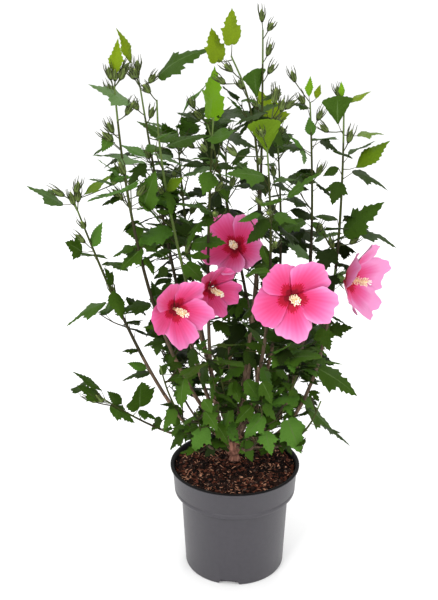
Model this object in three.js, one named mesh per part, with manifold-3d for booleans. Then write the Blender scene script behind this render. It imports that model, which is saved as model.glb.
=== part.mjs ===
// A rose of Sharon (Hibiscus syriacus) in its nursery pot: millimetres, +Z up, origin at the centre of the
// pot's flat underside. A short trunk ends in a knuckle. Upright stems and low shoots leave the knuckle. Each
// stem is a bare tapering bough that carries a mass of twigs, lobed leaves, buds and blooms.
import * as THREE from "three";
import { mergeVertices } from "three/addons/utils/BufferGeometryUtils.js";
import Module from "manifold-3d";

const wasm = await Module();
wasm.setup();

const vec = (x, y, z) => new THREE.Vector3(x, y, z);
const UP = vec(0, 0, 1);
const GAP = 0.3; // clearance between neighbouring solids
const SLIVER = 0.05; // where twigs and leaves are joined, detail finer than this is merged away
const radians = THREE.MathUtils.degToRad;

// ---------- driving dimensions ----------

const POT = {
  height: 189,
  baseRadius: 85.5,
  bodyRadius: 92, // where the wall passes into the collar
  collarHeight: 50,
  collarFootRadius: 103.5,
  collarTopRadius: 106.5,
  rimRadius: 110,
  rimHeight: 3.5,
  wall: 2.4,
  floor: 4,
  edgeRound: 2.5,
  footRing: 14, // width of the ring that the pot stands on
  centrePad: 26, // radius of the flat pad in the middle of the underside
  recess: 2, // how far the underside is recessed between the ring and the pad
  segments: 36,
};
const NOTCH = { count: 3, firstAzimuth: -97, width: 38, topWidth: 27, height: 8, depth: 16 };
const SOIL = { edgeBelowRim: 12, mound: 5, flatRadius: 24, segments: 30 };
const TRUNK = {
  foot: vec(0, 20, 0), // its height comes from the soil
  head: vec(-2, 16, 216), // centre of the knuckle
  headRadius: 20,
  rings: [[0, 11], [0.1, 9], [0.28, 7.5], [0.42, 8.5]], // share of the way up to the knuckle, and radius
  sides: 24,
};
const soilTop = POT.height - SOIL.edgeBelowRim + SOIL.mound;

// The upright stems: where each bends (elbow) and ends (tip), and the share of its length that is bare.
const UPRIGHTS = [
  { name: "far_left", elbow: [-105, -45, 232], tip: [-246, -40, 657], bare: 0.3 },
  { name: "left", elbow: [-155, -75, 435], tip: [-172, -95, 832], bare: 0.27 },
  { name: "left_mid", elbow: [-80, 25, 325], tip: [-149, 55, 814], bare: 0.28 },
  { name: "left_inner", elbow: [-120, -50, 650], tip: [-116, -58, 808], bare: 0.36 },
  { name: "centre_left", elbow: [-62, -95, 335], tip: [-35, -70, 785], bare: 0.27 },
  { name: "centre_lean", elbow: [85, 75, 232], tip: [-45, 60, 755], bare: 0.34 },
  { name: "centre_top", elbow: [75, 15, 725], tip: [-9, 20, 862], bare: 0.36 },
  { name: "centre_front", elbow: [70, -75, 420], tip: [41, -95, 748], bare: 0.3 },
  { name: "centre_back", elbow: [48, 108, 345], tip: [42, 115, 893], bare: 0.33, budsOnly: 100 },
  { name: "right_back", elbow: [155, 50, 225], tip: [117, 85, 785], bare: 0.33 },
  { name: "right", elbow: [175, -35, 238], tip: [156, -30, 790], bare: 0.24 },
  { name: "back_left", elbow: [-75, 110, 380], tip: [-98, 166, 735], bare: 0.28 },
  { name: "back_mid", elbow: [-10, 150, 330], tip: [-15, 195, 690], bare: 0.28 },
  { name: "back_right", elbow: [105, 125, 330], tip: [70, 160, 725], bare: 0.28 },
];
// The low shoots round the knuckle, which make the dense foot of the crown.
const LOW_SHOOTS = [
  { name: "low_left", elbow: [-108, -2, 226], tip: [-222, -45, 335] },
  { name: "low_front_left", elbow: [-52, -74, 230], tip: [-62, -98, 335] },
  { name: "low_front_right", elbow: [36, -78, 230], tip: [40, -102, 335] },
  { name: "low_right", elbow: [108, -60, 226], tip: [134, -76, 340] },
  { name: "low_back_right", elbow: [60, 110, 216], tip: [92, 132, 340] },
  { name: "low_back", elbow: [6, 112, 214], tip: [8, 138, 325] },
  { name: "low_back_left", elbow: [-84, 82, 216], tip: [-118, 104, 345] },
  { name: "mid_left", elbow: [-92, -76, 268], tip: [-118, -94, 410] },
  { name: "mid_front", elbow: [-8, -74, 288], tip: [-30, -108, 430] },
  { name: "mid_right", elbow: [70, -62, 276], tip: [98, -100, 415] },
];
const STEM_RADIUS = { foot: 3.4, tip: 1.2, lowFoot: 2.2, lowTip: 1.2, twig: 1.0, petiole: 0.9 };
const STEM_STEPS = { upright: 13, low: 5 }; // straight pieces in a stem; a low shoot's first one is bare

// The open blooms: the stem that bears each, its throat, the way it faces and its radius.
const BLOOMS = [
  { stem: "centre_front", at: [81, -128, 534], facing: [0.12, -0.97, 0.12], radius: 59 },
  { stem: "left", at: [-82, -120, 506], facing: [0.55, -0.82, 0.05], radius: 50 },
  { stem: "centre_left", at: [-30, -64, 518], facing: [0.5, -0.82, 0], radius: 41 },
  { stem: "centre_lean", at: [-8, -22, 589], facing: [-0.3, -0.72, 0.6], radius: 50 },
  { stem: "right", at: [176, -52, 538], facing: [0.93, -0.34, -0.05], radius: 50 },
];
const BLOOM = {
  petals: 5,
  edge: [0.86, 1.02, 1.02], // share of the radius at even steps round each petal, from its notch
  funnel: 24, // depth of the throat below the bloom's middle
  flare: 8,
  thickness: 1.6,
  column: 34,
  columnRadius: 3,
  calyx: 20,
};

const LEAF = {
  length: 58,
  lowLength: 50,
  youngLength: 58,
  spread: 0.22, // random share of the length
  thickness: 2.4,
  lobeAt: 0.42,
  lobeHalfWidth: 0.4,
  petiole: 20,
};
const BUD = { length: 22, radius: 5.5 };
const ROOT_DEPTH = 1; // how far past a stem's axis a leaf or a bud is rooted
const TIP_DEPTH = 4; // how far below a stem's end its last leaves stand
const RULE = {
  seed: 41,
  internode: 31,
  lowInternode: 13,
  goldenAngle: 137.5,
  axilStep: 5, // a bud stands this far above its leaf's node, a side twig as far below
  twigEvery: 4, // every fourth node of an upright bears a side twig, and every third one of a low shoot
  lowTwigEvery: 3,
  twigLength: 62,
  lowTwigLength: 54,
  twigAngle: 48,
  youngLength: 110, // length of the soft growth at a stem's end
  budFrom: 0.62, // buds stand in the axils above this share of a stem
  budChance: 0.45,
  cellMargin: 1.5,
  limbClearance: 3.5,
  twigSpacing: 7,
  leafSpacing: 10,
  skirt: { height: 198, slope: 0.38 }, // nothing hangs lower than a cone that rises from the pot's axis
};

// A leaf that meets something is tried at other angles, then smaller at the same angles.
RULE.tries = [1, 0.75].flatMap((scale) => [0, 40, -40, 80, -80, 120, -120, 160].map((turn) => [turn, scale]));

// ---------- solids ----------

// A closed BufferGeometry, or points and triangles, as a solid for cutting and joining.
function solid(geometry) {
  const bare = geometry.clone();
  bare.deleteAttribute("normal");
  bare.deleteAttribute("uv");
  const merged = mergeVertices(bare, 1e-4);
  return new wasm.Manifold(
    new wasm.Mesh({
      numProp: 3,
      vertProperties: new Float32Array(merged.attributes.position.array),
      triVerts: new Uint32Array(merged.index.array),
    }),
  );
}

function pointsSolid(points, triangles) {
  const geometry = new THREE.BufferGeometry().setFromPoints(points);
  geometry.setIndex(triangles.flat());
  return solid(geometry);
}

function geometryOf(body) {
  const mesh = body.getMesh();
  const geometry = new THREE.BufferGeometry();
  geometry.setAttribute("position", new THREE.BufferAttribute(mesh.vertProperties, 3));
  geometry.setIndex(new THREE.BufferAttribute(mesh.triVerts, 1));
  geometry.computeVertexNormals();
  return geometry;
}

// A round limb with flat ends: rings of points round a path, each with its own radius. The directions that
// its end rings face can be given, so that two limbs meet squarely.
function limb(path, radii, sides, { first, last } = {}) {
  const points = [];
  const triangles = [];
  let across = Math.abs(path[1].clone().sub(path[0]).normalize().z) > 0.9 ? vec(1, 0, 0) : UP.clone();
  path.forEach((centre, ring) => {
    const before = path[Math.max(ring - 1, 0)];
    const after = path[Math.min(ring + 1, path.length - 1)];
    const given = (ring === 0 && first) || (ring === path.length - 1 && last);
    const along = given || after.clone().sub(before).normalize();
    across = across.clone().addScaledVector(along, -across.dot(along)).normalize();
    const third = along.clone().cross(across);
    for (let side = 0; side < sides; side += 1) {
      const turn = (2 * Math.PI * side) / sides;
      const outward = across.clone().multiplyScalar(Math.cos(turn)).addScaledVector(third, Math.sin(turn));
      points.push(centre.clone().addScaledVector(outward, radii[ring]));
    }
  });
  for (let ring = 0; ring < path.length - 1; ring += 1) {
    for (let side = 0; side < sides; side += 1) {
      const a = ring * sides + side;
      const b = ring * sides + ((side + 1) % sides);
      triangles.push([a, b, b + sides], [a, b + sides, a + sides]);
    }
  }
  const end = (path.length - 1) * sides;
  for (let side = 1; side < sides - 1; side += 1) {
    triangles.push([0, side + 1, side], [end, end + side, end + side + 1]);
  }
  return pointsSolid(points, triangles);
}

// A path of straight pieces, with the point and the direction at any distance along it.
function course(points) {
  const marks = [0];
  points.slice(1).forEach((point, i) => marks.push(marks[i] + point.distanceTo(points[i])));
  const piece = (distance) => {
    const next = marks.findIndex((mark, i) => i > 0 && mark >= distance);
    return next < 0 ? points.length - 1 : next;
  };
  return {
    points,
    length: marks[marks.length - 1],
    at: (distance) => {
      const i = piece(distance);
      return points[i - 1].clone().lerp(points[i], (distance - marks[i - 1]) / (marks[i] - marks[i - 1]));
    },
    ahead: (distance) => {
      const i = piece(distance);
      return points[i].clone().sub(points[i - 1]).normalize();
    },
  };
}

// A solid drawn out to a point on both sides of a ring, which runs anticlockwise seen from its tip.
function spindle(root, ring, tip) {
  const [from, to] = [ring.length, ring.length + 1];
  const triangles = ring.flatMap((_, i) => {
    const next = (i + 1) % ring.length;
    return [[i, next, to], [next, i, from]];
  });
  return pointsSolid([...ring, root, tip], triangles);
}

// ---------- pot and soil ----------

const lathe = (profile, segments) =>
  new THREE.LatheGeometry(profile.map(([r, z]) => new THREE.Vector2(r, z)), segments).rotateX(Math.PI / 2);

function potWallRadius(z) {
  const collarFoot = POT.height - POT.collarHeight;
  return THREE.MathUtils.lerp(POT.baseRadius, POT.bodyRadius, z / collarFoot) - POT.wall;
}

function makePot() {
  const collarFoot = POT.height - POT.collarHeight;
  const rimFoot = POT.height - POT.rimHeight;
  const ringInside = POT.baseRadius - POT.footRing;
  const profile = [
    [0, 0],
    [POT.centrePad, 0],
    [POT.centrePad + POT.recess, POT.recess],
    [ringInside - POT.recess, POT.recess],
    [ringInside, 0],
    [POT.baseRadius - POT.edgeRound, 0],
    [POT.baseRadius, POT.edgeRound],
    [POT.bodyRadius, collarFoot],
    [POT.collarFootRadius - POT.edgeRound, collarFoot],
    [POT.collarFootRadius, collarFoot + POT.edgeRound],
    [POT.collarTopRadius, rimFoot],
    [POT.rimRadius, rimFoot + 0.5],
    [POT.rimRadius, POT.height],
    [POT.collarTopRadius - POT.wall, POT.height],
    [POT.collarFootRadius - POT.wall, collarFoot + 2 * POT.wall],
    [potWallRadius(collarFoot), collarFoot + POT.wall],
    [potWallRadius(0), 2 * POT.floor],
    [potWallRadius(0) - POT.floor, POT.floor + POT.recess],
    [0, POT.floor + POT.recess],
  ];
  let pot = solid(lathe(profile, POT.segments));
  for (let i = 0; i < NOTCH.count; i += 1) {
    const outline = new THREE.Shape();
    outline.moveTo(-NOTCH.width / 2, -1);
    outline.lineTo(NOTCH.width / 2, -1);
    outline.lineTo(NOTCH.topWidth / 2, NOTCH.height);
    outline.lineTo(-NOTCH.topWidth / 2, NOTCH.height);
    const cutter = new THREE.ExtrudeGeometry(outline, { depth: NOTCH.depth, bevelEnabled: false });
    cutter.rotateX(Math.PI / 2).translate(0, POT.baseRadius + 6, 0);
    cutter.rotateZ(radians(NOTCH.firstAzimuth - 90 + (360 / NOTCH.count) * i));
    pot = pot.subtract(solid(cutter));
  }
  return pot;
}

function makeSoil() {
  const collarFoot = POT.height - POT.collarHeight;
  const edge = POT.height - SOIL.edgeBelowRim;
  const collarShare = (edge - collarFoot) / POT.collarHeight;
  const edgeRadius = THREE.MathUtils.lerp(POT.collarFootRadius, POT.collarTopRadius, collarShare);
  const bottom = POT.floor + POT.recess + GAP;
  const profile = [
    [0, bottom],
    [potWallRadius(0) - POT.floor - 2 * GAP, bottom],
    [potWallRadius(0) - 2 * GAP, 2 * POT.floor + GAP],
    [potWallRadius(collarFoot) - 2 * GAP, collarFoot + POT.wall],
    [POT.collarFootRadius - POT.wall - 2 * GAP, collarFoot + 2 * POT.wall + GAP],
    [edgeRadius - POT.wall - 2 * GAP, edge],
    [(edgeRadius + SOIL.flatRadius) / 2, edge + 0.6 * SOIL.mound],
    [SOIL.flatRadius, edge + SOIL.mound],
    [0, edge + SOIL.mound],
  ];
  return solid(lathe(profile, SOIL.segments));
}

// ---------- trunk and stems ----------

function makeTrunk() {
  const foot = TRUNK.foot.clone().setZ(soilTop + GAP);
  const path = TRUNK.rings.map(([share]) => foot.clone().lerp(TRUNK.head, share));
  const radii = TRUNK.rings.map(([, radius]) => radius);
  path[1].setX(foot.x).setY(foot.y); // so that the cut at ground level is flat
  for (let latitude = -45; latitude <= 75; latitude += 15) { // the knuckle is a ball
    path.push(TRUNK.head.clone().addScaledVector(UP, TRUNK.headRadius * Math.sin(radians(latitude))));
    radii.push(TRUNK.headRadius * Math.cos(radians(latitude)));
  }
  return limb(path, radii, TRUNK.sides);
}

function makeStem(spec, low) {
  const elbow = vec(...spec.elbow);
  const out = elbow.clone().sub(TRUNK.head).normalize();
  const foot = TRUNK.head.clone().addScaledVector(out, TRUNK.headRadius + GAP);
  const steps = low ? STEM_STEPS.low : STEM_STEPS.upright;
  const line = course(new THREE.QuadraticBezierCurve3(foot, elbow, vec(...spec.tip)).getSpacedPoints(steps));
  return {
    name: spec.name,
    out,
    line,
    low,
    steps,
    bareSteps: low ? 1 : Math.round(spec.bare * steps),
    budsOnly: spec.budsOnly ?? 0,
    footRadius: low ? STEM_RADIUS.lowFoot : STEM_RADIUS.foot,
    tipRadius: low ? STEM_RADIUS.lowTip : STEM_RADIUS.tip,
  };
}

// The path and the radii of a stretch of a stem, from one of its steps to another.
function stretch(stem, from, to) {
  const path = stem.line.points.slice(from, to + 1).map((point) => point.clone());
  const radii = path.map((_, i) =>
    THREE.MathUtils.lerp(stem.footRadius, stem.tipRadius, ((from + i) / stem.steps) ** 0.8));
  return { path, radii };
}

// The way a stem points at the step where its mass begins.
const jointAhead = ({ line, bareSteps }) =>
  line.points[bareSteps + 1].clone().sub(line.points[bareSteps - 1]).normalize();

const stems = [...UPRIGHTS.map((spec) => makeStem(spec, false)), ...LOW_SHOOTS.map((spec) => makeStem(spec, true))];

// ---------- the space that each mass keeps to ----------

const piecesOf = (points) => points.slice(1).map((end, i) => new THREE.Line3(points[i], end));
const massAxes = stems.map((stem) => piecesOf(stem.line.points.slice(stem.bareSteps)));
const boughAxes = stems.map((stem) => piecesOf(stem.line.points.slice(0, stem.bareSteps + 1)));
const nearest = vec(0, 0, 0);

function distanceTo(pieces, point) {
  let least = Infinity;
  for (const piece of pieces) {
    piece.closestPointToPoint(point, true, nearest);
    least = Math.min(least, nearest.distanceTo(point));
  }
  return least;
}

// The step of a stem's mass that lies nearest to a point.
function nearestNode(stem, point) {
  const nodes = stem.line.points.slice(stem.bareSteps + 1, -1);
  return nodes.reduce((best, node) => (node.distanceTo(point) < best.distanceTo(point) ? node : best));
}

const blooms = BLOOMS.map(standBloom);
const pedicels = piecesOf(blooms.flatMap(({ pedicel }) => pedicel)).filter((_, i) => i % 2 === 0);

// Whether a point is free for the mass of stem number own: nearer to its axis than to any other, and clear
// of the limbs, the knuckle, the soil and the blooms.
function isFree(point, own) {
  if (point.z < RULE.skirt.height + RULE.skirt.slope * Math.hypot(point.x, point.y)) return false;
  if (point.distanceTo(TRUNK.head) < TRUNK.headRadius + RULE.limbClearance) return false;
  const ownDistance = distanceTo(massAxes[own], point);
  for (let other = 0; other < stems.length; other += 1) {
    const limit = STEM_RADIUS.foot + RULE.limbClearance;
    if (distanceTo(boughAxes[other], point) < limit) return false;
    if (other !== own && distanceTo(massAxes[other], point) < ownDistance + RULE.cellMargin) return false;
  }
  if (distanceTo(pedicels, point) < RULE.limbClearance) return false;
  return blooms.every((bloom) => {
    const offset = point.clone().sub(bloom.centre);
    const ahead = offset.dot(bloom.ahead);
    const aside = offset.addScaledVector(bloom.ahead, -ahead).length();
    const funnelRadius = bloom.radius * (0.3 + (0.75 * (ahead + BLOOM.funnel)) / BLOOM.funnel);
    return ahead < -BLOOM.funnel - 4 || ahead > 30 || aside > Math.min(funnelRadius, 1.05 * bloom.radius);
  });
}

// ---------- leaves, buds and blooms ----------

// The same sequence in any language: a 32-bit linear congruential generator.
function seededRandom(seed) {
  let state = (seed * 2654435761) % 4294967296;
  return () => {
    state = (Math.imul(state, 1664525) + 1013904223) >>> 0;
    return state / 4294967296;
  };
}

// A point of a leaf blade: along from base (0) to tip (1), aside as a share of the length.
function bladePoint(leaf, along, aside) {
  const sag = leaf.curl * along * along + leaf.fold * Math.abs(aside);
  return leaf.base.clone()
    .addScaledVector(leaf.ahead, leaf.length * along)
    .addScaledVector(leaf.side, leaf.length * aside)
    .addScaledVector(leaf.normal, -leaf.length * sag);
}

// How a leaf stands at a node: young ones rise with the stem, old ones spread and arch over.
function standLeaf(node, stemAhead, outward, youth, low, scale, random) {
  const roll = (random() - 0.5) * 0.9;
  const size = scale * (1 + (random() * 2 - 1) * LEAF.spread);
  const droop = random();
  const rise = THREE.MathUtils.lerp(0.55, 2.1, youth);
  const stalkAhead = outward.clone().addScaledVector(stemAhead, rise).normalize();
  const lift = THREE.MathUtils.lerp(-0.15 - 0.5 * droop, 2.4 - 1.4 * droop, youth);
  const ahead = outward.clone().setZ(0).normalize().addScaledVector(UP, lift).normalize();
  const level = UP.clone().cross(ahead).normalize();
  const flat = ahead.clone().cross(level).normalize();
  const side = level.clone().applyAxisAngle(ahead, roll);
  const normal = flat.clone().applyAxisAngle(ahead, roll);
  const length = THREE.MathUtils.lerp(low ? LEAF.lowLength : LEAF.length, LEAF.youngLength, youth) * size;
  return {
    node,
    base: node.clone().addScaledVector(stalkAhead, LEAF.petiole * size),
    ahead, side, normal, length, youth,
    curl: THREE.MathUtils.lerp(0.12 + 0.22 * droop, 0.1, youth),
    fold: THREE.MathUtils.lerp(0.12, -0.15, youth),
  };
}

// A leaf with its stalk: a thin wedge from inside the stem to the side lobes, then the tip.
function leafSolid(leaf) {
  const stalkAhead = leaf.base.clone().sub(leaf.node).normalize();
  const midrib = bladePoint(leaf, LEAF.lobeAt, 0);
  const half = leaf.normal.clone().multiplyScalar(LEAF.thickness / 2);
  return spindle(
    leaf.node.clone().addScaledVector(stalkAhead, -ROOT_DEPTH),
    [
      bladePoint(leaf, LEAF.lobeAt, LEAF.lobeHalfWidth),
      midrib.clone().add(half),
      bladePoint(leaf, LEAF.lobeAt, -LEAF.lobeHalfWidth),
      midrib.clone().sub(half),
    ],
    bladePoint(leaf, 1, 0),
  );
}

// The points of a blade that are tried against everything else: five across, at each of these distances.
const FEELERS = [0.2, LEAF.lobeAt, 0.6, 0.8, 1].flatMap((along) => {
  const share = along < LEAF.lobeAt ? along / LEAF.lobeAt : (1 - along) / (1 - LEAF.lobeAt);
  return along === 1 ? [[1, 0]] : [-1, -0.5, 0, 0.5, 1].map((aside) => [along, aside * share * LEAF.lobeHalfWidth]);
});
const feelersOf = (leaf) => [
  leaf.node.clone().lerp(leaf.base, 0.6),
  ...FEELERS.map(([along, aside]) => bladePoint(leaf, along, aside)),
];

function budSolid(bud) {
  const across = UP.clone().cross(bud.ahead).normalize();
  const third = bud.ahead.clone().cross(across);
  const at = (distance) => bud.node.clone().addScaledVector(bud.ahead, distance);
  const ring = [0, 120, 240].map((turn) => at(bud.length + 0.35 * BUD.length)
    .addScaledVector(across, BUD.radius * Math.cos(radians(turn)))
    .addScaledVector(third, BUD.radius * Math.sin(radians(turn))));
  return spindle(at(-ROOT_DEPTH), ring, at(bud.length + BUD.length));
}

// A point of a bloom: share of the radius from the throat, and the angle round its axis.
function bloomPoint(bloom, share, turn) {
  const rise = -BLOOM.funnel + (BLOOM.funnel + BLOOM.flare) * share ** 1.5;
  return bloom.centre.clone()
    .addScaledVector(bloom.ahead, rise)
    .addScaledVector(bloom.across, bloom.radius * share * Math.cos(turn))
    .addScaledVector(bloom.third, bloom.radius * share * Math.sin(turn));
}

function standBloom(spec) {
  const centre = vec(...spec.at);
  const ahead = vec(...spec.facing).normalize();
  const across = UP.clone().cross(ahead).normalize();
  const back = centre.clone().addScaledVector(ahead, -BLOOM.funnel - BLOOM.calyx);
  const stem = stems.find(({ name }) => name === spec.stem);
  const root = nearestNode(stem, back.clone().addScaledVector(ahead, -18));
  return {
    stem, centre, ahead, across, third: ahead.clone().cross(across), radius: spec.radius, pedicel: [root, back],
  };
}

// A flaring corolla whose petals overlap into one sheet, thickest in the middle of each petal and sharp at
// its edge. Round the edge each petal has a notch and two corners.
function corolla(bloom) {
  const perPetal = BLOOM.edge.length;
  const count = BLOOM.petals * perPetal;
  const turnAt = (i) => Math.PI / 2 + (2 * Math.PI * i) / count;
  const edge = Array.from({ length: count }, (_, i) => bloomPoint(bloom, BLOOM.edge[i % perPetal], turnAt(i)));
  const sheet = (offset) => [
    bloomPoint(bloom, 0, 0).addScaledVector(bloom.ahead, offset),
    ...Array.from({ length: BLOOM.petals }, (_, petal) =>
      bloomPoint(bloom, 0.55, turnAt((petal + 0.5) * perPetal)).addScaledVector(bloom.ahead, offset)),
  ];
  const points = [...edge, ...sheet(BLOOM.thickness / 2), ...sheet(-BLOOM.thickness / 2)];
  const triangles = [];
  for (const [throat, flip] of [[count, false], [count + BLOOM.petals + 1, true]]) {
    for (let petal = 0; petal < BLOOM.petals; petal += 1) {
      const middle = throat + 1 + petal;
      const nextMiddle = throat + 1 + ((petal + 1) % BLOOM.petals);
      const corner = (i) => (petal * perPetal + i) % count;
      const faces = [[throat, middle, nextMiddle], [middle, corner(perPetal), nextMiddle]];
      for (let i = 0; i < perPetal; i += 1) faces.push([middle, corner(i), corner(i + 1)]);
      triangles.push(...faces.map(([a, b, c]) => (flip ? [a, c, b] : [a, b, c])));
    }
  }
  return pointsSolid(points, triangles);
}

function bloomSolids(bloom) {
  const made = [corolla(bloom)];
  const onAxis = (distance) => bloom.centre.clone().addScaledVector(bloom.ahead, distance - BLOOM.funnel);
  made.push(limb([onAxis(-3), onAxis(0.4 * BLOOM.column), onAxis(BLOOM.column)], [1.5, BLOOM.columnRadius, 1.2], 4));
  made.push(limb([onAxis(-BLOOM.calyx), onAxis(-0.6 * BLOOM.calyx), onAxis(3)], [1.4, 6, 5], 4));
  made.push(limb([bloom.pedicel[0], onAxis(0.5 - BLOOM.calyx)], [1.1, 1.3], 3));
  return made;
}

// ---------- the rule that grows a mass ----------

// Whether a point is clear of what its own mass already holds.
const isClear = (point, mass) => distanceTo(mass.pieces, point) > RULE.twigSpacing
  && mass.feelers.every((other) => other.distanceTo(point) > RULE.leafSpacing);

// Leaves, buds and side twigs at the nodes of one axis, which is a stem (level 0) or a side twig (level 1).
function growAxis(axis, own, random, mass, level) {
  const internode = axis.low ? RULE.lowInternode : RULE.internode;
  let turn = random() * 360;
  let count = 0;
  const { length } = axis.line;
  const places = [];
  for (let along = axis.from; along < length - internode / 2; along += internode * (0.85 + 0.3 * random())) {
    places.push(along);
  }
  for (const along of [...places, length - TIP_DEPTH, length - TIP_DEPTH]) {
    const node = axis.line.at(along);
    const ahead = axis.line.ahead(along);
    const youth = THREE.MathUtils.clamp(1 - (length - along) / RULE.youngLength, 0, 1) * axis.softness;
    count += 1;
    turn += RULE.goldenAngle;
    const reference = (Math.abs(ahead.z) > 0.95 ? vec(1, 0, 0) : UP.clone()).cross(ahead).normalize();
    const outwardAt = (degrees) => reference.clone().applyAxisAngle(ahead, radians(degrees));
    const standing = random();
    const leafWanted = along <= length - axis.budsOnly;
    for (const [extra, scale] of leafWanted ? RULE.tries : []) {
      const tryRandom = seededRandom(1 + Math.floor(standing * 1e6));
      const leaf = standLeaf(node, ahead, outwardAt(turn + extra), youth, axis.low, scale, tryRandom);
      const feelers = feelersOf(leaf);
      const free = feelers.every((point) => isFree(point, own) && isClear(point, mass));
      if (free) {
        mass.leaves.push(leaf);
        mass.feelers.push(...feelers);
        break;
      }
    }
    const budAhead = outwardAt(turn + 30).addScaledVector(ahead, 1.2).normalize();
    const budLength = 14 + 14 * random();
    const budWanted = random() < RULE.budChance && axis.share(along) > RULE.budFrom && !axis.low;
    const budNode = axis.line.at(Math.min(along + RULE.axilStep, length - TIP_DEPTH / 2));
    const budTip = budNode.clone().addScaledVector(budAhead, budLength + BUD.length);
    if (budWanted && isFree(budTip, own) && isClear(budTip, mass)) {
      mass.buds.push({ node: budNode, ahead: budAhead, length: budLength });
      mass.feelers.push(budTip);
    }
    const twigWanted = leafWanted && level === 0 && count % (axis.low ? RULE.lowTwigEvery : RULE.twigEvery) === 1;
    const twigLength = (axis.low ? RULE.lowTwigLength : RULE.twigLength) * (0.75 + 0.5 * random());
    const twigTurn = turn + 180 + 60 * (random() - 0.5);
    if (!twigWanted) continue;
    for (const [extra] of RULE.tries) {
      const out = outwardAt(twigTurn + extra).multiplyScalar(Math.sin(radians(RULE.twigAngle)))
        .addScaledVector(ahead, Math.cos(radians(RULE.twigAngle))).normalize();
      const fork = node.clone().addScaledVector(ahead, -RULE.axilStep);
      const end = fork.clone().addScaledVector(out, twigLength).addScaledVector(UP, 0.15 * twigLength);
      const middle = fork.clone().lerp(end, 0.5).addScaledVector(UP, -0.06 * twigLength);
      const line = course([fork, middle, end]);
      const tries = [0.3, 0.5, 0.65, 0.8, 1].map((share) => line.at(share * line.length));
      if (!tries.every((point) => isFree(point, own) && isClear(point, mass))) continue;
      const [leaves, buds, pieces] = [mass.leaves, mass.buds, mass.pieces].map((list) => list.length);
      mass.pieces.push(...piecesOf(line.points));
      growAxis({
        line,
        from: 0.45 * line.length,
        share: () => axis.share(along),
        softness: 0.5,
        budsOnly: 0,
        low: axis.low,
      }, own, random, mass, 1);
      if (mass.leaves.length > leaves) {
        mass.twigs.push(line);
      } else { // a twig that found no room for a leaf is dropped
        mass.buds.length = buds;
        mass.pieces.length = pieces;
      }
      break;
    }
  }
}

function growMass(own) {
  const stem = stems[own];
  const mass = { leaves: [], buds: [], twigs: [], pieces: [...massAxes[own]], feelers: [] };
  growAxis({
    line: stem.line,
    from: (stem.bareSteps / stem.steps) * stem.line.length + 12,
    share: (distance) => distance / stem.line.length,
    softness: stem.low ? 0.3 : 1,
    budsOnly: stem.budsOnly,
    low: stem.low,
  }, own, seededRandom(RULE.seed + own), mass, 0);
  return mass;
}

function massSolid(own) {
  const stem = stems[own];
  const mass = growMass(own);
  const { path, radii } = stretch(stem, stem.bareSteps, stem.steps);
  path[0].addScaledVector(jointAhead(stem), GAP);
  const made = [limb(path, radii, 3, { first: jointAhead(stem) })];
  mass.twigs.forEach((line) => made.push(limb(line.points, [1.3, 1.1, 0.9], 3)));
  mass.leaves.forEach((leaf) => made.push(leafSolid(leaf)));
  mass.buds.forEach((bud) => made.push(budSolid(bud)));
  blooms.filter((bloom) => bloom.stem === stem).forEach((bloom) => made.push(...bloomSolids(bloom)));
  return wasm.Manifold.union(made).simplify(SLIVER);
}

// ---------- the plant ----------

const MATERIALS = {
  pot: new THREE.MeshStandardMaterial({ color: 0x6a666a, roughness: 0.45 }),
  soil: new THREE.MeshStandardMaterial({ color: 0x2a1a12, roughness: 1 }),
  bark: new THREE.MeshStandardMaterial({ color: 0x7a6250, roughness: 0.9 }),
  foliage: new THREE.MeshStandardMaterial({ color: 0x3f7a2c, roughness: 0.6 }),
};

const plant = new THREE.Group();
function addNode(name, body, material) {
  const mesh = new THREE.Mesh(geometryOf(body), MATERIALS[material]);
  mesh.name = name;
  plant.add(mesh);
}

addNode("pot", makePot(), "pot");
addNode("soil", makeSoil(), "soil");
addNode("trunk", makeTrunk(), "bark");
stems.forEach((stem, own) => {
  const { path, radii } = stretch(stem, 0, stem.bareSteps);
  addNode(`bough_${stem.name}`, limb(path, radii, 6, { first: stem.out, last: jointAhead(stem) }), "bark");
  addNode(`foliage_${stem.name}`, massSolid(own), "foliage");
});

export default plant;
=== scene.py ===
"""A rose of Sharon (Hibiscus syriacus) in its nursery pot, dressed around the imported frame.
Lengths are millimetres until a mesh is made, as in the frame's source; Blender gets metres."""
import math

import bpy
import numpy as np
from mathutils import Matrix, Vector


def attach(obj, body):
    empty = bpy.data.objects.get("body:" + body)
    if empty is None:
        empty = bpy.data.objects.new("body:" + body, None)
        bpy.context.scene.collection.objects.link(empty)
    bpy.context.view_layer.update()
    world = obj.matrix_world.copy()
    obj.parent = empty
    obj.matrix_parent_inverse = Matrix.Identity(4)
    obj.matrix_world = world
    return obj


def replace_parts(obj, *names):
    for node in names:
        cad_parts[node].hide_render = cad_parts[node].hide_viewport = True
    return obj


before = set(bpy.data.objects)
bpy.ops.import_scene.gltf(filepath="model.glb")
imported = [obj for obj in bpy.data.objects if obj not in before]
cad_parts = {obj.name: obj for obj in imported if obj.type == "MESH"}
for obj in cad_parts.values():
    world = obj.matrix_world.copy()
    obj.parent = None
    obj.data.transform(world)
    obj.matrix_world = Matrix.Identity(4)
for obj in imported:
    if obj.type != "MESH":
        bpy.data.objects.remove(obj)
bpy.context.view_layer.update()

MM = 0.001
UP = np.array([0.0, 0.0, 1.0])

# ---------- the plant's sizes and its rule ----------
# The stems' elbows and tips and the values of RULE are the frame source's own. The notches, stem tips, leaf
# stalks, buds and blooms are set closer to life, and BENT_BACK bows a stem in this scene only.

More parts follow.
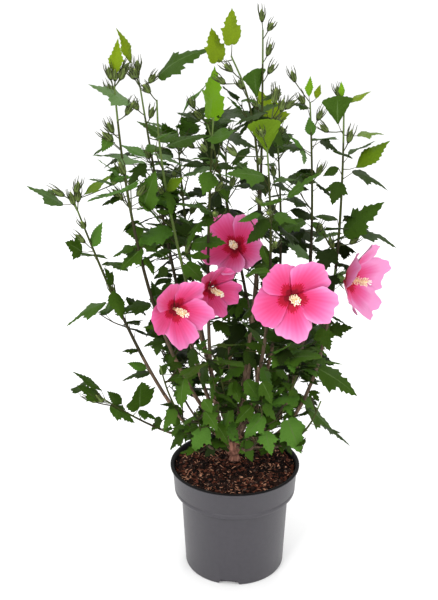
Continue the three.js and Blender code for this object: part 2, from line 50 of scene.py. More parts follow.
POT = dict(height=189, base_radius=85.5, body_radius=92, collar_height=50, collar_foot_radius=103.5,
           collar_top_radius=106.5, rim_radius=110, rim_height=3.5, wall=2.4, floor=4, foot_ring=14,
           centre_pad=26, recess=2)
NOTCH = dict(count=3, first_azimuth=-97, width=38, top_width=27, height=9, depth=16)
SOIL = dict(edge_below_rim=12, mound=5, flat_radius=24)
SOIL_TOP = POT["height"] - SOIL["edge_below_rim"] + SOIL["mound"]
GAP = 0.3
KNUCKLE = dict(centre=np.array([-2.0, 16.0, 216.0]), radius=20)
TRUNK = dict(foot=np.array([0.0, 20.0, SOIL_TOP + GAP]), rings=[(0, 11), (0.1, 9), (0.28, 7.5), (0.42, 8.5)])

# Each upright stem: its elbow, its tip and the share of its length that is bare.
UPRIGHTS = {
    "far_left": ((-105, -45, 232), (-246, -40, 657), 0.3),
    "left": ((-155, -75, 435), (-172, -95, 832), 0.27),
    "left_mid": ((-80, 25, 325), (-149, 55, 814), 0.28),
    "left_inner": ((-120, -50, 650), (-116, -58, 808), 0.36),
    "centre_left": ((-62, -95, 335), (-35, -70, 785), 0.27),
    "centre_lean": ((85, 75, 232), (-45, 60, 755), 0.34),
    "centre_top": ((75, 15, 725), (-9, 20, 862), 0.36),
    "centre_front": ((70, -75, 420), (41, -95, 748), 0.3),
    "centre_back": ((48, 108, 345), (42, 115, 893), 0.33),
    "right_back": ((155, 50, 225), (117, 85, 785), 0.33),
    "right": ((175, -35, 238), (156, -30, 790), 0.24),
    "back_left": ((-75, 110, 380), (-98, 166, 735), 0.28),
    "back_mid": ((-10, 150, 330), (-15, 195, 690), 0.28),
    "back_right": ((105, 125, 330), (70, 160, 725), 0.28),
}
LOW_SHOOTS = {
    "low_left": ((-108, -2, 226), (-222, -45, 335)),
    "low_front_left": ((-52, -74, 230), (-62, -98, 335)),
    "low_front_right": ((36, -78, 230), (40, -102, 335)),
    "low_right": ((108, -60, 226), (134, -76, 340)),
    "low_back_right": ((60, 110, 216), (92, 132, 340)),
    "low_back": ((6, 112, 214), (8, 138, 325)),
    "low_back_left": ((-84, 82, 216), (-118, 104, 345)),
    "mid_left": ((-92, -76, 268), (-118, -94, 410)),
    "mid_front": ((-8, -74, 288), (-30, -108, 430)),
    "mid_right": ((70, -62, 276), (98, -100, 415)),
}
BUDS_ONLY = {"centre_back": 100}  # the length at a stem's end that bears buds and no leaves
STEM_RADIUS = dict(foot=3.4, tip=1.3, low_foot=2.2, low_tip=1.2, petiole=0.75)
STEM_STEPS = dict(upright=13, low=5)

# Each open bloom: its stem, its throat, the way it faces, its radius, its paleness, how many degrees it is
# turned about its axis, and how deep its cup is.
# A bloom's paleness is partly painted light and shade, darkest on the bloom behind the others, and partly the
# paler backs of the petals that the right bloom shows.
BLOOMS = [
    ("centre_front", (84, -128, 529), (0.12, -0.97, 0.12), 59, 1.0, 0, 1.0),
    ("left", (-82, -120, 506), (0.5, -0.85, 0.05), 50, 0.75, 0, 1.0),
    ("centre_left", (-30, -64, 518), (0.5, -0.82, 0), 41, 0.35, 0, 1.0),
    ("centre_lean", (-6, -22, 582), (-0.2, -0.85, 0.4), 48, 1.0, 0, 1.2),
    ("right", (194, -60, 534), (0.85, -0.52, 0.02), 57, 1.9, 18, 1.25),
]
# Stems that bow back behind a bloom: the height of the bow, its reach up and down, and its depth.
BENT_BACK = {"centre_left": (525, 80, 48)}
BLOOM = dict(petals=5, funnel=24, flare=8, column=36, calyx=20)
LEAF = dict(length=58, low_length=50, young_length=58, spread=0.22, lobe_at=0.42, lobe_half_width=0.4,
            petiole=20)
BUD_LENGTH = 22
TIP_DEPTH = 4
TURNS = (0, 40, -40, 80, -80, 120, -120, 160)
RULE = dict(
    seed=41, internode=31, low_internode=13, golden_angle=137.5, axil_step=5, twig_every=4, low_twig_every=3,
    twig_length=62, low_twig_length=54, twig_angle=48, young_length=110, bud_from=0.62, bud_chance=0.45,
    cell_margin=1.5, limb_clearance=3.5, twig_spacing=7, leaf_spacing=10, leaf_scale=1.0,
    skirt_height=198, skirt_slope=0.38, tries=[(turn, scale) for scale in (1, 0.75) for turn in TURNS],
)
# The same rule carried on to finer twigs and smaller leaves, which stand closer together.
FINE = dict(RULE, seed=141, internode=27, low_internode=8, twig_every=6, low_twig_every=2, twig_length=40,
            low_twig_length=42, bud_chance=0.0, twig_spacing=1.6, leaf_spacing=3.6, leaf_scale=0.94,
            limb_clearance=0.5, tries=[(turn, scale) for scale in (1, 0.7) for turn in TURNS])


# The photograph's view: where the camera stands, the degrees it looks down, its lens and the picture's size.
VIEW = dict(eye=np.array([-27.0, -1425.0, 996.0]), down=19.81, lens=56.6, sensor=36.0, width=438, height=600)
FORWARD = np.array([0, math.cos(math.radians(VIEW["down"])), -math.sin(math.radians(VIEW["down"]))])
RIGHTWARD = np.array([1.0, 0, 0])
UPWARD = np.cross(RIGHTWARD, FORWARD)
FOCAL = VIEW["lens"] / VIEW["sensor"] * VIEW["height"]
MIDDLE = np.array([VIEW["width"] / 2, VIEW["height"] / 2])

# Where the crown is open to the sky: circles in the photograph's pixels (x, y, radius).
SKY = np.array([
    (48, 141, 43), (70, 105, 24), (33, 227, 29), (41, 255, 22), (50, 288, 33), (84, 287, 18), (88, 347, 24),
    (105, 366, 16), (62, 342, 14), (93, 66, 14), (154, 20, 30), (185, 16, 24), (210, 12, 11), (155, 52, 8),
    (247, 11, 10), (247, 30, 11), (247, 48, 12), (297, 36, 27), (329, 60, 24), (278, 75, 8), (362, 117, 11),
    (358, 82, 12), (379, 112, 17), (136, 135, 10), (177, 83, 14), (171, 98, 11), (167, 115, 7),
    (295, 121, 10), (287, 162, 8), (322, 156, 7), (243, 201, 10), (321, 203, 8), (356, 191, 9), (92, 215, 11),
    (81, 167, 12), (116, 215, 10), (104, 244, 8), (78, 268, 11), (125, 290, 7), (139, 287, 7), (392, 163, 14),
    (394, 200, 13), (396, 217, 15), (394, 270, 11), (349, 309, 9), (371, 337, 24), (369, 359, 20),
    (331, 402, 11), (348, 411, 20), (319, 446, 14), (152, 448, 18), (138, 438, 13), (94, 112, 12),
    (192, 78, 7), (62, 181, 8), (90, 140, 9), (113, 342, 9), (98, 324, 7), (231, 146, 8), (282, 175, 6),
    (130, 165, 5), (112, 384, 9), (124, 428, 9), (138, 360, 24), (148, 402, 26), (125, 400, 20),
    (159, 374, 10), (190, 405, 7), (195, 215, 5), (282, 205, 5), (328, 180, 7), (296, 258, 7), (326, 216, 7),
    (82, 414, 12), (98, 427, 11), (337, 352, 9), (352, 352, 14), (301, 387, 7), (309, 424, 7), (317, 436, 9),
    (318, 455, 12), (188, 412, 6), (217, 340, 4), (62, 403, 11), (205, 329, 5), (268, 246, 4), (302, 270, 5),
], float)

# Where each bloom shows: the photograph's pixels (x, y, radius), in the order of BLOOMS.
BLOOMS_SEEN = [(295, 302, 37), (187, 316, 28), (221, 292, 20), (234, 242, 26), (367, 281, 18)]
CROWN_FOOT = 457  # the pixel row that the rule's leaves hang down to

# Leaves that show best, stem by stem: the pixels of the blade's base and tip, its width in pixels, how far
# its tip comes towards the camera (mm), how much it arches, its outline and its green.
KEY_LEAVES = {
    "far_left": [
        (63, 205, 25, 187, 14, 0, 0.15, "lobed", "mid"), (84, 195, 118, 175, 8, 0, 0.25, "ovate", "light"),
        (82, 252, 65, 240, 22, 30, 0.1, "lobed", "mature"), (91, 247, 104, 223, 13, 0, 0.1, "ovate", "fresh"),
        (113, 284, 104, 268, 12, 10, 0.1, "lobed", "mature"), (106, 303, 66, 326, 11, 0, 0.3, "lobed", "mid"),
        (147, 369, 127, 362, 10, 0, 0.1, "ovate", "fresh"), (138, 351, 121, 352, 7, 0, 0.35, "lobed", "dark"),
        (150, 373, 121, 382, 9, 0, 0.4, "lobed", "dark"),
    ],
    "left": [
        (115, 76, 116, 38, 15, 0, 0.05, "narrow", "young"), (130, 103, 88, 84, 16, 10, 0.1, "lobed", "painted_sheen"),
        (112, 134, 100, 151, 14, 10, 0.2, "ovate", "mid"), (145, 163, 91, 156, 8, 0, 0.2, "lobed", "painted_sheen"),
        (120, 198, 101, 206, 8, 0, 0.3, "lobed", "dark"), (143, 207, 158, 172, 26, 10, 0.1, "broad", "mid"),
        (134, 247, 112, 257, 9, 0, 0.2, "lobed", "mature"),
        (142, 248, 121, 273, 20, 10, 0.2, "lobed", "mature"),
        (151, 305, 114, 312, 15, 0, 0.2, "lobed", "dark"), (164, 341, 143, 348, 10, 0, 0.4, "lobed", "dark"),
        (158, 342, 157, 356, 15, 0, 0.1, "lobed", "dark"), (160, 375, 168, 362, 9, 0, 0.2, "ovate", "dark"),
        (182, 376, 167, 383, 10, 0, 0.4, "lobed", "dark"), (176, 353, 166, 364, 8, 0, 0.2, "ovate", "dark"),
    ],
    "left_mid": [
        (131, 64, 115, 28, 11, 0, 0.35, "narrow", "young"),
        (158, 77, 213, 47, 22, 0, 0.42, "lobed", "mature"),
        (166, 147, 213, 134, 11, 0, 0.25, "ovate", "mature"),
        (168, 148, 193, 141, 6, 0, 0.25, "ovate", "fresh"),
        (152, 153, 184, 168, 7, 20, 0.2, "lobed", "painted_sheen"),
    ],
    "left_inner": [
        (165, 190, 184, 177, 12, 10, 0.1, "ovate", "light"),
        (172, 230, 132, 246, 22, 20, 0.2, "lobed", "fresh"),
        (192, 243, 228, 241, 22, 25, 0.1, "lobed", "mid"), (186, 264, 204, 284, 20, 15, 0.2, "broad", "mid"),
        (172, 283, 160, 300, 12, 0, 0.2, "ovate", "dark"), (168, 268, 156, 276, 12, 0, 0.2, "ovate", "dark"),
    ],
    "centre_top": [
        (217, 62, 213, 27, 22, 0, 0.05, "broad", "young"), (232, 44, 229, 8, 22, 0, 0.05, "broad", "young"),
    ],
    "centre_lean": [
        (211, 118, 216, 66, 25, 0, 0.05, "broad", "newest"),
        (217, 113, 262, 119, 16, 20, 0.2, "lobed", "dark"), (197, 120, 176, 113, 9, 0, 0.25, "lobed", "dark"),
        (211, 162, 206, 128, 21, 0, 0.1, "broad", "deep"),
        (212, 167, 180, 177, 9, 20, 0.15, "lobed", "painted_sheen"),
        (204, 165, 181, 165, 8, 0, 0.35, "ovate", "dark"), (213, 166, 237, 169, 8, 0, 0.35, "ovate", "dark"),
        (206, 192, 183, 197, 13, 10, 0.35, "lobed", "deep"),
        (221, 190, 205, 218, 14, 0, 0.2, "lobed", "deep"), (222, 134, 259, 150, 12, 0, 0.15, "lobed", "dark"),
    ],
    "centre_back": [(257, 97, 252, 70, 24, 8, 0.05, "fan", "mid")],
    "centre_front": [
        (267, 152, 267, 119, 34, 12, 0.05, "fan", "light"), (264, 177, 224, 173, 20, 15, 0.2, "lobed", "mid"),
        (265, 187, 231, 187, 10, 0, 0.3, "lobed", "dark"), (273, 182, 299, 181, 6, 0, 0.4, "lobed", "mature"),
        (272, 184, 297, 195, 6, 0, 0.3, "lobed", "dark"), (261, 214, 237, 221, 8, 0, 0.1, "ovate", "fresh"),
        (268, 222, 247, 246, 17, 0, 0.2, "broad", "dark"), (274, 215, 298, 224, 14, 10, 0.25, "lobed", "mid"),
        (262, 245, 269, 266, 11, 0, 0.1, "ovate", "mature"),
        (254, 383, 256, 407, 18, 15, 0.1, "broad", "fresh"),
        (262, 367, 272, 394, 14, 12, 0.2, "lobed", "fresh"),
        (247, 400, 247, 421, 16, 0, 0.2, "lobed", "mature"),
        (276, 371, 291, 381, 10, 0, 0.2, "lobed", "mature"),
        (245, 350, 256, 372, 15, 0, 0.2, "lobed", "dark"),
    ],
    "right_back": [
        (309, 97, 309, 76, 9, 0, 0.05, "narrow", "newest"), (316, 99, 319, 84, 8, 0, 0.05, "narrow", "young"),
        (308, 108, 289, 103, 7, 0, 0.2, "lobed", "dark"), (312, 136, 308, 117, 12, 0, 0.1, "ovate", "fresh"),
        (320, 141, 339, 151, 10, 0, 0.25, "lobed", "deep"), (303, 148, 275, 149, 11, 0, 0.3, "lobed", "dark"),
        (303, 149, 305, 166, 8, 20, 0.1, "lobed", "painted_sheen"),
        (304, 150, 288, 135, 5, 0, 0.1, "narrow", "fresh"), (306, 206, 280, 199, 9, 0, 0.3, "lobed", "dark"),
        (305, 221, 277, 234, 16, 10, 0.2, "lobed", "mid"), (309, 258, 280, 242, 12, 0, 0.3, "lobed", "painted_sheen"),
        (311, 222, 329, 240, 9, 0, 0.3, "ovate", "mature"),
    ],
    "right": [
        (338, 124, 336, 96, 31, 12, 0.1, "fan", "mature"), (342, 98, 342, 81, 7, 0, 0.05, "narrow", "newest"),
        (349, 103, 372, 92, 6, 0, 0.2, "ovate", "young"), (357, 136, 385, 135, 7, 0, 0.35, "lobed", "light"),
        (356, 168, 390, 140, 17, 0, 0.15, "ovate", "light"),
        (352, 172, 388, 190, 10, 0, 0.35, "lobed", "dark"), (339, 168, 322, 175, 10, 0, 0.2, "ovate", "dark"),
        (344, 235, 383, 198, 30, 10, 0.1, "lobed", "mature"),
        (352, 228, 398, 250, 10, 0, 0.3, "lobed", "dark"), (338, 220, 312, 218, 7, 0, 0.4, "ovate", "dark"),
        (330, 331, 353, 326, 18, 0, 0.15, "lobed", "dark"),
        (322, 328, 327, 352, 24, 20, 0.1, "lobed", "mature"),
        (319, 369, 359, 393, 27, 15, 0.1, "lobed", "mature"),
        (305, 406, 335, 435, 16, 0, 0.2, "lobed", "mature"), (301, 397, 318, 412, 12, 0, 0.2, "lobed", "mid"),
        (306, 377, 319, 386, 6, 0, 0.2, "ovate", "dark"),
    ],
    "low_left": [
        (100, 399, 77, 384, 17, 0, 0.1, "lobed", "mature"),
        (102, 391, 72, 371, 8, 0, 0.1, "narrow", "mature"), (122, 404, 106, 392, 12, 0, 0.2, "ovate", "dark"),
        (110, 406, 135, 424, 17, 0, 0.15, "lobed", "mid"),
        (140, 407, 141, 382, 30, 36, 0.1, "broad", "mature"),
        (138, 412, 158, 420, 10, 0, 0.3, "lobed", "mid"), (161, 418, 151, 431, 12, 0, 0.1, "lobed", "dark"),
        (172, 405, 179, 431, 22, 10, 0.2, "lobed", "mid"),
    ],
    "low_front_left": [
        (207, 427, 190, 451, 27, 10, 0.15, "lobed", "fresh"),
        (205, 411, 219, 431, 20, 10, 0.15, "lobed", "mid"), (203, 399, 213, 413, 13, 0, 0.1, "ovate", "mid"),
        (184, 434, 169, 449, 13, 0, 0.25, "lobed", "dark"),
        (198, 426, 183, 432, 9, 0, 0.2, "lobed", "mature"), (214, 446, 205, 458, 13, 0, 0.2, "lobed", "deep"),
        (216, 424, 229, 446, 17, 8, 0.2, "lobed", "mature"),
    ],
    "mid_left": [
        (184, 378, 181, 409, 20, 12, 0.2, "lobed", "mid"),
        (183, 377, 166, 382, 9, 0, 0.35, "lobed", "mature"), (178, 407, 159, 404, 7, 0, 0.2, "lobed", "dark"),
        (176, 409, 163, 430, 17, 0, 0.2, "lobed", "mid"),
    ],
    "mid_front": [
        (222, 420, 239, 445, 22, 10, 0.2, "lobed", "fresh"),
        (230, 407, 225, 433, 14, 8, 0.15, "lobed", "mid"), (213, 377, 211, 402, 9, 0, 0.2, "lobed", "mature"),
        (236, 380, 226, 398, 13, 0, 0.2, "lobed", "mature"),
        (243, 365, 222, 384, 15, 10, 0.2, "lobed", "mid"),
        (232, 382, 240, 404, 18, 8, 0.15, "lobed", "mature"),
        (246, 380, 258, 402, 19, 8, 0.15, "lobed", "mid"),
    ],
    "centre_left": [
        (206, 362, 203, 391, 14, 0, 0.2, "lobed", "dark"), (195, 349, 190, 373, 15, 0, 0.2, "lobed", "dark"),
        (224, 346, 215, 366, 15, 0, 0.2, "lobed", "deep"),
    ],
    "low_front_right": [
        (264, 416, 242, 437, 25, 10, 0.15, "lobed", "fresh"),
        (266, 431, 269, 456, 23, 15, 0.15, "lobed", "fresh"),
        (244, 440, 253, 462, 20, 10, 0.15, "lobed", "mid"), (263, 405, 277, 420, 13, 0, 0.2, "lobed", "mid"),
        (252, 406, 236, 425, 18, 10, 0.2, "lobed", "mature"),
        (262, 382, 273, 404, 19, 8, 0.15, "lobed", "mature"),
    ],
    "mid_right": [
        (288, 420, 299, 455, 30, 12, 0.1, "broad", "fresh"),
        (299, 396, 270, 404, 16, 12, 0.2, "lobed", "fresh"),
        (298, 394, 280, 383, 12, 0, 0.2, "lobed", "mature"), (297, 399, 290, 410, 9, 0, 0.2, "ovate", "mid"),
        (292, 373, 313, 378, 6, 0, 0.25, "lobed", "mature"),
    ],
    "low_right": [(281, 436, 293, 454, 13, 0, 0.2, "lobed", "dark")],
}

# The buds that show best: the pixel of each calyx's foot.
KEY_BUDS = {
    "far_left": [(74, 205), (78, 202), (112, 185)],
    "left": [(111, 80), (115, 81), (120, 80), (126, 115), (113, 133), (137, 196)],
    "left_mid": [(138, 72), (135, 79), (149, 83), (138, 110), (150, 118), (157, 140), (149, 159), (172, 176)],
    "left_inner": [(186, 254)],
    "centre_top": [(225, 84)],
    "centre_lean": [(194, 108), (194, 148)],
    "centre_front": [(237, 156), (274, 104), (281, 111)],
    "centre_back": [(262, 22), (267, 56)],
    "right_back": [(295, 82), (317, 176), (304, 104)],
    "right": [(328, 132), (348, 143), (333, 249), (350, 244)],
    "low_left": [(97, 402), (103, 402)],
}


def in_photo(points):
    """Where points fall in the photograph, in its pixels."""
    offset = np.atleast_2d(points) - VIEW["eye"]
    scale = FOCAL / (offset @ FORWARD)
    return MIDDLE + np.stack([offset @ RIGHTWARD * scale, -offset @ UPWARD * scale], axis=1)


def behind_pixel(x, y, depth):
    """The point behind a pixel of the photograph at a depth along Y."""
    ray = FORWARD + RIGHTWARD * (x - MIDDLE[0]) / FOCAL - UPWARD * (y - MIDDLE[1]) / FOCAL
    return VIEW["eye"] + ray * (depth - VIEW["eye"][1]) / ray[1]


def unit(vector):
    return vector / np.linalg.norm(vector)


def spun(vector, axis, degrees):
    """The vector turned about a unit axis."""
    angle = math.radians(degrees)
    return (vector * math.cos(angle) + np.cross(axis, vector) * math.sin(angle)
            + axis * (axis @ vector) * (1 - math.cos(angle)))


def mix(low, high, share):
    return low + (high - low) * share


def seeded_random(seed):
    """The source's own sequence: a 32-bit linear congruential generator."""
    state = (seed * 2654435761) % 4294967296

    def draw():
        nonlocal state
        state = (state * 1664525 + 1013904223) % 4294967296
        return state / 4294967296
    return draw


class Course:
    """A path of straight pieces, with the point and the direction at any distance along it."""

    def __init__(self, points):
        self.points = np.array(points, float)
        self.marks = np.concatenate([[0], np.cumsum(np.linalg.norm(np.diff(self.points, axis=0), axis=1))])
        self.length = self.marks[-1]

    def piece(self, distance):
        return min(max(int(np.searchsorted(self.marks, distance)), 1), len(self.points) - 1)

    def at(self, distance):
        i = self.piece(distance)
        share = (distance - self.marks[i - 1]) / (self.marks[i] - self.marks[i - 1])
        return mix(self.points[i - 1], self.points[i], share)

    def ahead(self, distance):
        i = self.piece(distance)
        return unit(self.points[i] - self.points[i - 1])


class Stem:
    def __init__(self, name, elbow, tip, bare, low):
        elbow, tip = np.array(elbow, float), np.array(tip, float)
        self.name, self.low = name, low
        self.out = unit(elbow - KNUCKLE["centre"])
        foot = KNUCKLE["centre"] + self.out * (KNUCKLE["radius"] + GAP)
        self.steps = STEM_STEPS["low" if low else "upright"]
        even = np.linspace(0, 1, 201)

        def curve(t):
            t = np.asarray(t)[:, None]
            return (1 - t) ** 2 * foot + 2 * (1 - t) * t * elbow + t ** 2 * tip
        run = np.linalg.norm(np.diff(curve(even), axis=0), axis=1)
        run = np.concatenate([[0], np.cumsum(run)])
        self.line = Course(curve(np.interp(run[-1] * np.arange(self.steps + 1) / self.steps, run, even)))
        self.bare_steps = 1 if low else math.floor(bare * self.steps + 0.5)
        self.buds_only = BUDS_ONLY.get(name, 0)
        self.foot_radius = STEM_RADIUS["low_foot" if low else "foot"]
        self.tip_radius = STEM_RADIUS["low_tip" if low else "tip"]

    def radius(self, distance):
        return mix(self.foot_radius, self.tip_radius, np.clip(distance / self.line.length, 0, 1) ** 1.5)


stems = [Stem(name, *spec, False) for name, spec in UPRIGHTS.items()]
stems += [Stem(name, *spec, None, True) for name, spec in LOW_SHOOTS.items()]
for stem in stems:
    if stem.name in BENT_BACK:
        height, reach, depth = BENT_BACK[stem.name]
        bent = stem.line.points.copy()
        bent[:, 1] += depth * np.exp(-((bent[:, 2] - height) / reach) ** 2)
        stem.line = Course(bent)


class Bloom:
    def __init__(self, stem_name, at, facing, radius, pale, spin, cup):
        self.centre, self.ahead = np.array(at, float), unit(np.array(facing, float))
        self.radius, self.pale, self.spin = radius, pale, math.radians(spin)
        self.funnel, self.flare = BLOOM["funnel"] * cup, BLOOM["flare"] * cup ** 2
        self.across = unit(np.cross(UP, self.ahead))
        self.third = np.cross(self.ahead, self.across)
        stem = next(stem for stem in stems if stem.name == stem_name)
        back = self.centre - self.ahead * (self.funnel + BLOOM["calyx"])
        nodes = stem.line.points[stem.bare_steps + 1:-1]
        root = nodes[np.argmin(np.linalg.norm(nodes - (back - 18 * self.ahead), axis=1))]
        self.pedicel = (root, back)


blooms = [Bloom(*spec) for spec in BLOOMS]


def spots_along(stem):
    """Even points of a stem, from just above its foot to just below its tip."""
    return np.array([stem.line.at(d) for d in np.linspace(0.02, 1, 120) * (stem.line.length - 1)])


def depth_beside(stem, x, y):
    """The depth along Y of the stem where it passes nearest to a pixel of the photograph."""
    spots = spots_along(stem)
    return spots[np.argmin(np.linalg.norm(in_photo(spots) - (x, y), axis=1)), 1]


SHOWN_SHARE = 0.4  # how far from base to tip the middle of a placed leaf lies
SHOWN_WIDTH = 0.42  # the radius kept free round it, as a share of its width, and at least SHOWN_LEAST pixels
SHOWN_LEAST = 4
BEHIND_THROAT, BEFORE_LEAF = 15, 4  # others stay this far behind a throat or a placed leaf's near side (mm)


def shown_spots():
    """Circles that nothing hides in the photograph's view: x, y, radius and the depth of what each shows."""
    spots = [(*seen, bloom.centre[1] + BEHIND_THROAT) for seen, bloom in zip(BLOOMS_SEEN, blooms)]
    for stem in stems:
        for base_x, base_y, tip_x, tip_y, width, toward, *_ in KEY_LEAVES.get(stem.name, []):
            depth = depth_beside(stem, base_x, base_y) - SHOWN_SHARE * toward - BEFORE_LEAF
            middle = mix(base_x, tip_x, SHOWN_SHARE), mix(base_y, tip_y, SHOWN_SHARE)
            spots.append((*middle, max(SHOWN_WIDTH * width, SHOWN_LEAST), depth))
    return np.array(spots)


SHOWN = shown_spots()


def pieces_of(points):
    return np.stack([points[:-1], points[1:]], axis=1)


mass_axes = [pieces_of(stem.line.points[stem.bare_steps:]) for stem in stems]
bough_axes = np.concatenate([pieces_of(stem.line.points[:stem.bare_steps + 1]) for stem in stems])
pedicels = np.array([bloom.pedicel for bloom in blooms])
mass_owner = np.concatenate([[own] * len(axes) for own, axes in enumerate(mass_axes)])
all_mass_axes = np.concatenate(mass_axes)


def distances(pieces, points):
    """The distance from each point to each straight piece."""
    start, run = pieces[:, 0], pieces[:, 1] - pieces[:, 0]
    offset = points[:, None] - start[None]
    share = np.clip(np.einsum("pij,ij->pi", offset, run) / np.einsum("ij,ij->i", run, run), 0, 1)
    return np.linalg.norm(offset - share[..., None] * run[None], axis=2)


def is_free(points, own, rule):
    """Whether all the points keep to one stem's space and out of the sky, and hide or touch nothing."""
    seen = in_photo(points)
    if (np.hypot(seen[:, None, 0] - SKY[:, 0], seen[:, None, 1] - SKY[:, 1]) < SKY[:, 2]).any():
        return False
    if (seen[:, 1] > CROWN_FOOT).any():
        return False
    away = np.hypot(seen[:, None, 0] - SHOWN[:, 0], seen[:, None, 1] - SHOWN[:, 1])
    if ((away < SHOWN[:, 2]) & (points[:, None, 1] < SHOWN[:, 3])).any():
        return False
    skirt = rule["skirt_height"] + rule["skirt_slope"] * np.hypot(points[:, 0], points[:, 1])
    if (points[:, 2] < skirt).any():
        return False
    clearance = rule["limb_clearance"]
    if (np.linalg.norm(points - KNUCKLE["centre"], axis=1) < KNUCKLE["radius"] + clearance).any():
        return False
    for bloom in blooms:
        offset = points - bloom.centre
        ahead = offset @ bloom.ahead
        aside = np.linalg.norm(offset - ahead[:, None] * bloom.ahead, axis=1)
        funnel = bloom.radius * (0.3 + 0.75 * (ahead + bloom.funnel) / bloom.funnel)
        outside = aside > np.minimum(funnel, 1.05 * bloom.radius)
        if not ((ahead < -bloom.funnel - 4) | (ahead > 30) | outside).all():
            return False
    if (distances(bough_axes, points) < STEM_RADIUS["foot"] + clearance).any():
        return False
    if (distances(pedicels, points) < clearance).any():
        return False
    away = distances(all_mass_axes, points)
    mine = away[:, mass_owner == own].min(axis=1)
    others = away[:, mass_owner != own].min(axis=1)
    return bool((others >= mine + rule["cell_margin"]).all())


class Mass:
    def __init__(self, own):
        self.own = own
        self.leaves, self.buds, self.twigs, self.key_buds = [], [], [], []
        self.pieces = list(mass_axes[own])
        self.feelers = []

    def is_clear(self, points, rule):
        """Whether all the points are clear of what this mass already holds."""
        if (distances(np.array(self.pieces), points) <= rule["twig_spacing"]).any():
            return False
        if not self.feelers:
            return True
        held = np.array(self.feelers)
        return bool((np.linalg.norm(points[:, None] - held[None], axis=2) > rule["leaf_spacing"]).all())


def blade_point(leaf, along, aside):
    """Points of a leaf blade: along from base (0) to tip (1), aside as a share of the length."""
    along, aside = np.asarray(along, float)[..., None], np.asarray(aside, float)[..., None]
    sag = leaf["curl"] * along * along + leaf["fold"] * np.abs(aside)
    offset = leaf["ahead"] * along + leaf["side"] * aside - leaf["normal"] * sag
    return leaf["base"] + leaf["length"] * offset


def stand_leaf(node, stem_ahead, outward, youth, low, scale, random):
    """How a leaf stands at a node: young ones rise with the stem, old ones spread and arch over."""
    roll = (random() - 0.5) * 0.9
    size = scale * (1 + (random() * 2 - 1) * LEAF["spread"])
    droop = random()
    stalk_ahead = unit(outward + stem_ahead * mix(0.55, 2.1, youth))
    lift = mix(-0.15 - 0.5 * droop, 2.4 - 1.4 * droop, youth)
    ahead = unit(unit(outward * (1, 1, 0)) + UP * lift)
    level = unit(np.cross(UP, ahead))
    flat = unit(np.cross(ahead, level))
    side, normal = (spun(v, ahead, math.degrees(roll)) for v in (level, flat))
    length = mix(LEAF["low_length" if low else "length"], LEAF["young_length"], youth) * size
    return dict(node=node, base=node + stalk_ahead * LEAF["petiole"] * size, ahead=ahead, side=side,
                normal=normal, length=length, youth=youth, low=low,
                curl=mix(0.12 + 0.22 * droop, 0.1, youth), fold=mix(0.12, -0.15, youth))


def feeler_spots():
    """The points of a blade, in shares of its length, that are tried for room."""
    spots, widest = [], LEAF["lobe_at"]
    for along in (0.2, widest, 0.6, 0.8):
        share = along / widest if along < widest else (1 - along) / (1 - widest)
        spots += [(along, aside * share * LEAF["lobe_half_width"]) for aside in (-1, -0.5, 0, 0.5, 1)]
    return np.array(spots + [(1, 0)])


FEELERS = feeler_spots()


def feelers_of(leaf):
    stalk = mix(leaf["node"], leaf["base"], 0.6)
    return np.concatenate([[stalk], blade_point(leaf, FEELERS[:, 0], FEELERS[:, 1])])


def node_below(stem, base, reach):
    """The point of a stem that a stalk of about this reach to a blade's base starts from."""
    spots = spots_along(stem)
    away = np.linalg.norm(spots - base, axis=1)
    away[spots[:, 2] > base[2] + 4] += 60
    return spots[np.argmin(np.abs(away - reach) + np.maximum(away - reach, 0))]


def key_leaf(stem, base_x, base_y, tip_x, tip_y, width, toward, curl, outline, green):
    """A leaf that shows well, stood between two pixels of the photograph on its stem."""
    depth = depth_beside(stem, base_x, base_y)
    base, tip = behind_pixel(base_x, base_y, depth), behind_pixel(tip_x, tip_y, depth - toward)
    chord = tip - base
    length = np.linalg.norm(chord) / math.hypot(1, curl)
    sight = unit(base - VIEW["eye"])
    run = unit(chord)
    across = unit(np.cross(run, sight))
    seen = width * (base - VIEW["eye"]) @ FORWARD / FOCAL
    share = min(seen / (length * OUTLINE_WIDTH[outline]), WIDEST_KEY_LEAF)
    tilt = np.cross(across, run)
    lean = math.sqrt(max(1 - share * share, 0))
    sides = [across * share * a + tilt * lean * b for a in (1, -1) for b in (1, -1)]
    side = max(sides, key=lambda s: np.cross(run, s) @ UP - 0.4 * np.cross(run, s) @ sight)
    normal = unit(np.cross(run, side))
    spread = math.hypot(1, curl)
    youth = {"newest": 1.0, "young": 0.8, "light": 0.6}.get(green, 0.2)
    stalk = 18 if length > 30 else 12
    return dict(node=node_below(stem, base, stalk), base=base, ahead=(run + normal * curl) / spread,
                side=side, normal=(normal - run * curl) / spread, length=length, youth=youth, low=stem.low,
                curl=curl, fold=0.06, outline=outline, green=green, fine=False)


WIDEST_KEY_LEAF = 1.3  # how far a key leaf may be widened past its outline
OUTLINE_WIDTH = dict(broad=0.86, lobed=0.9, fan=1.0, cleft=0.75, ovate=0.62, narrow=0.5)


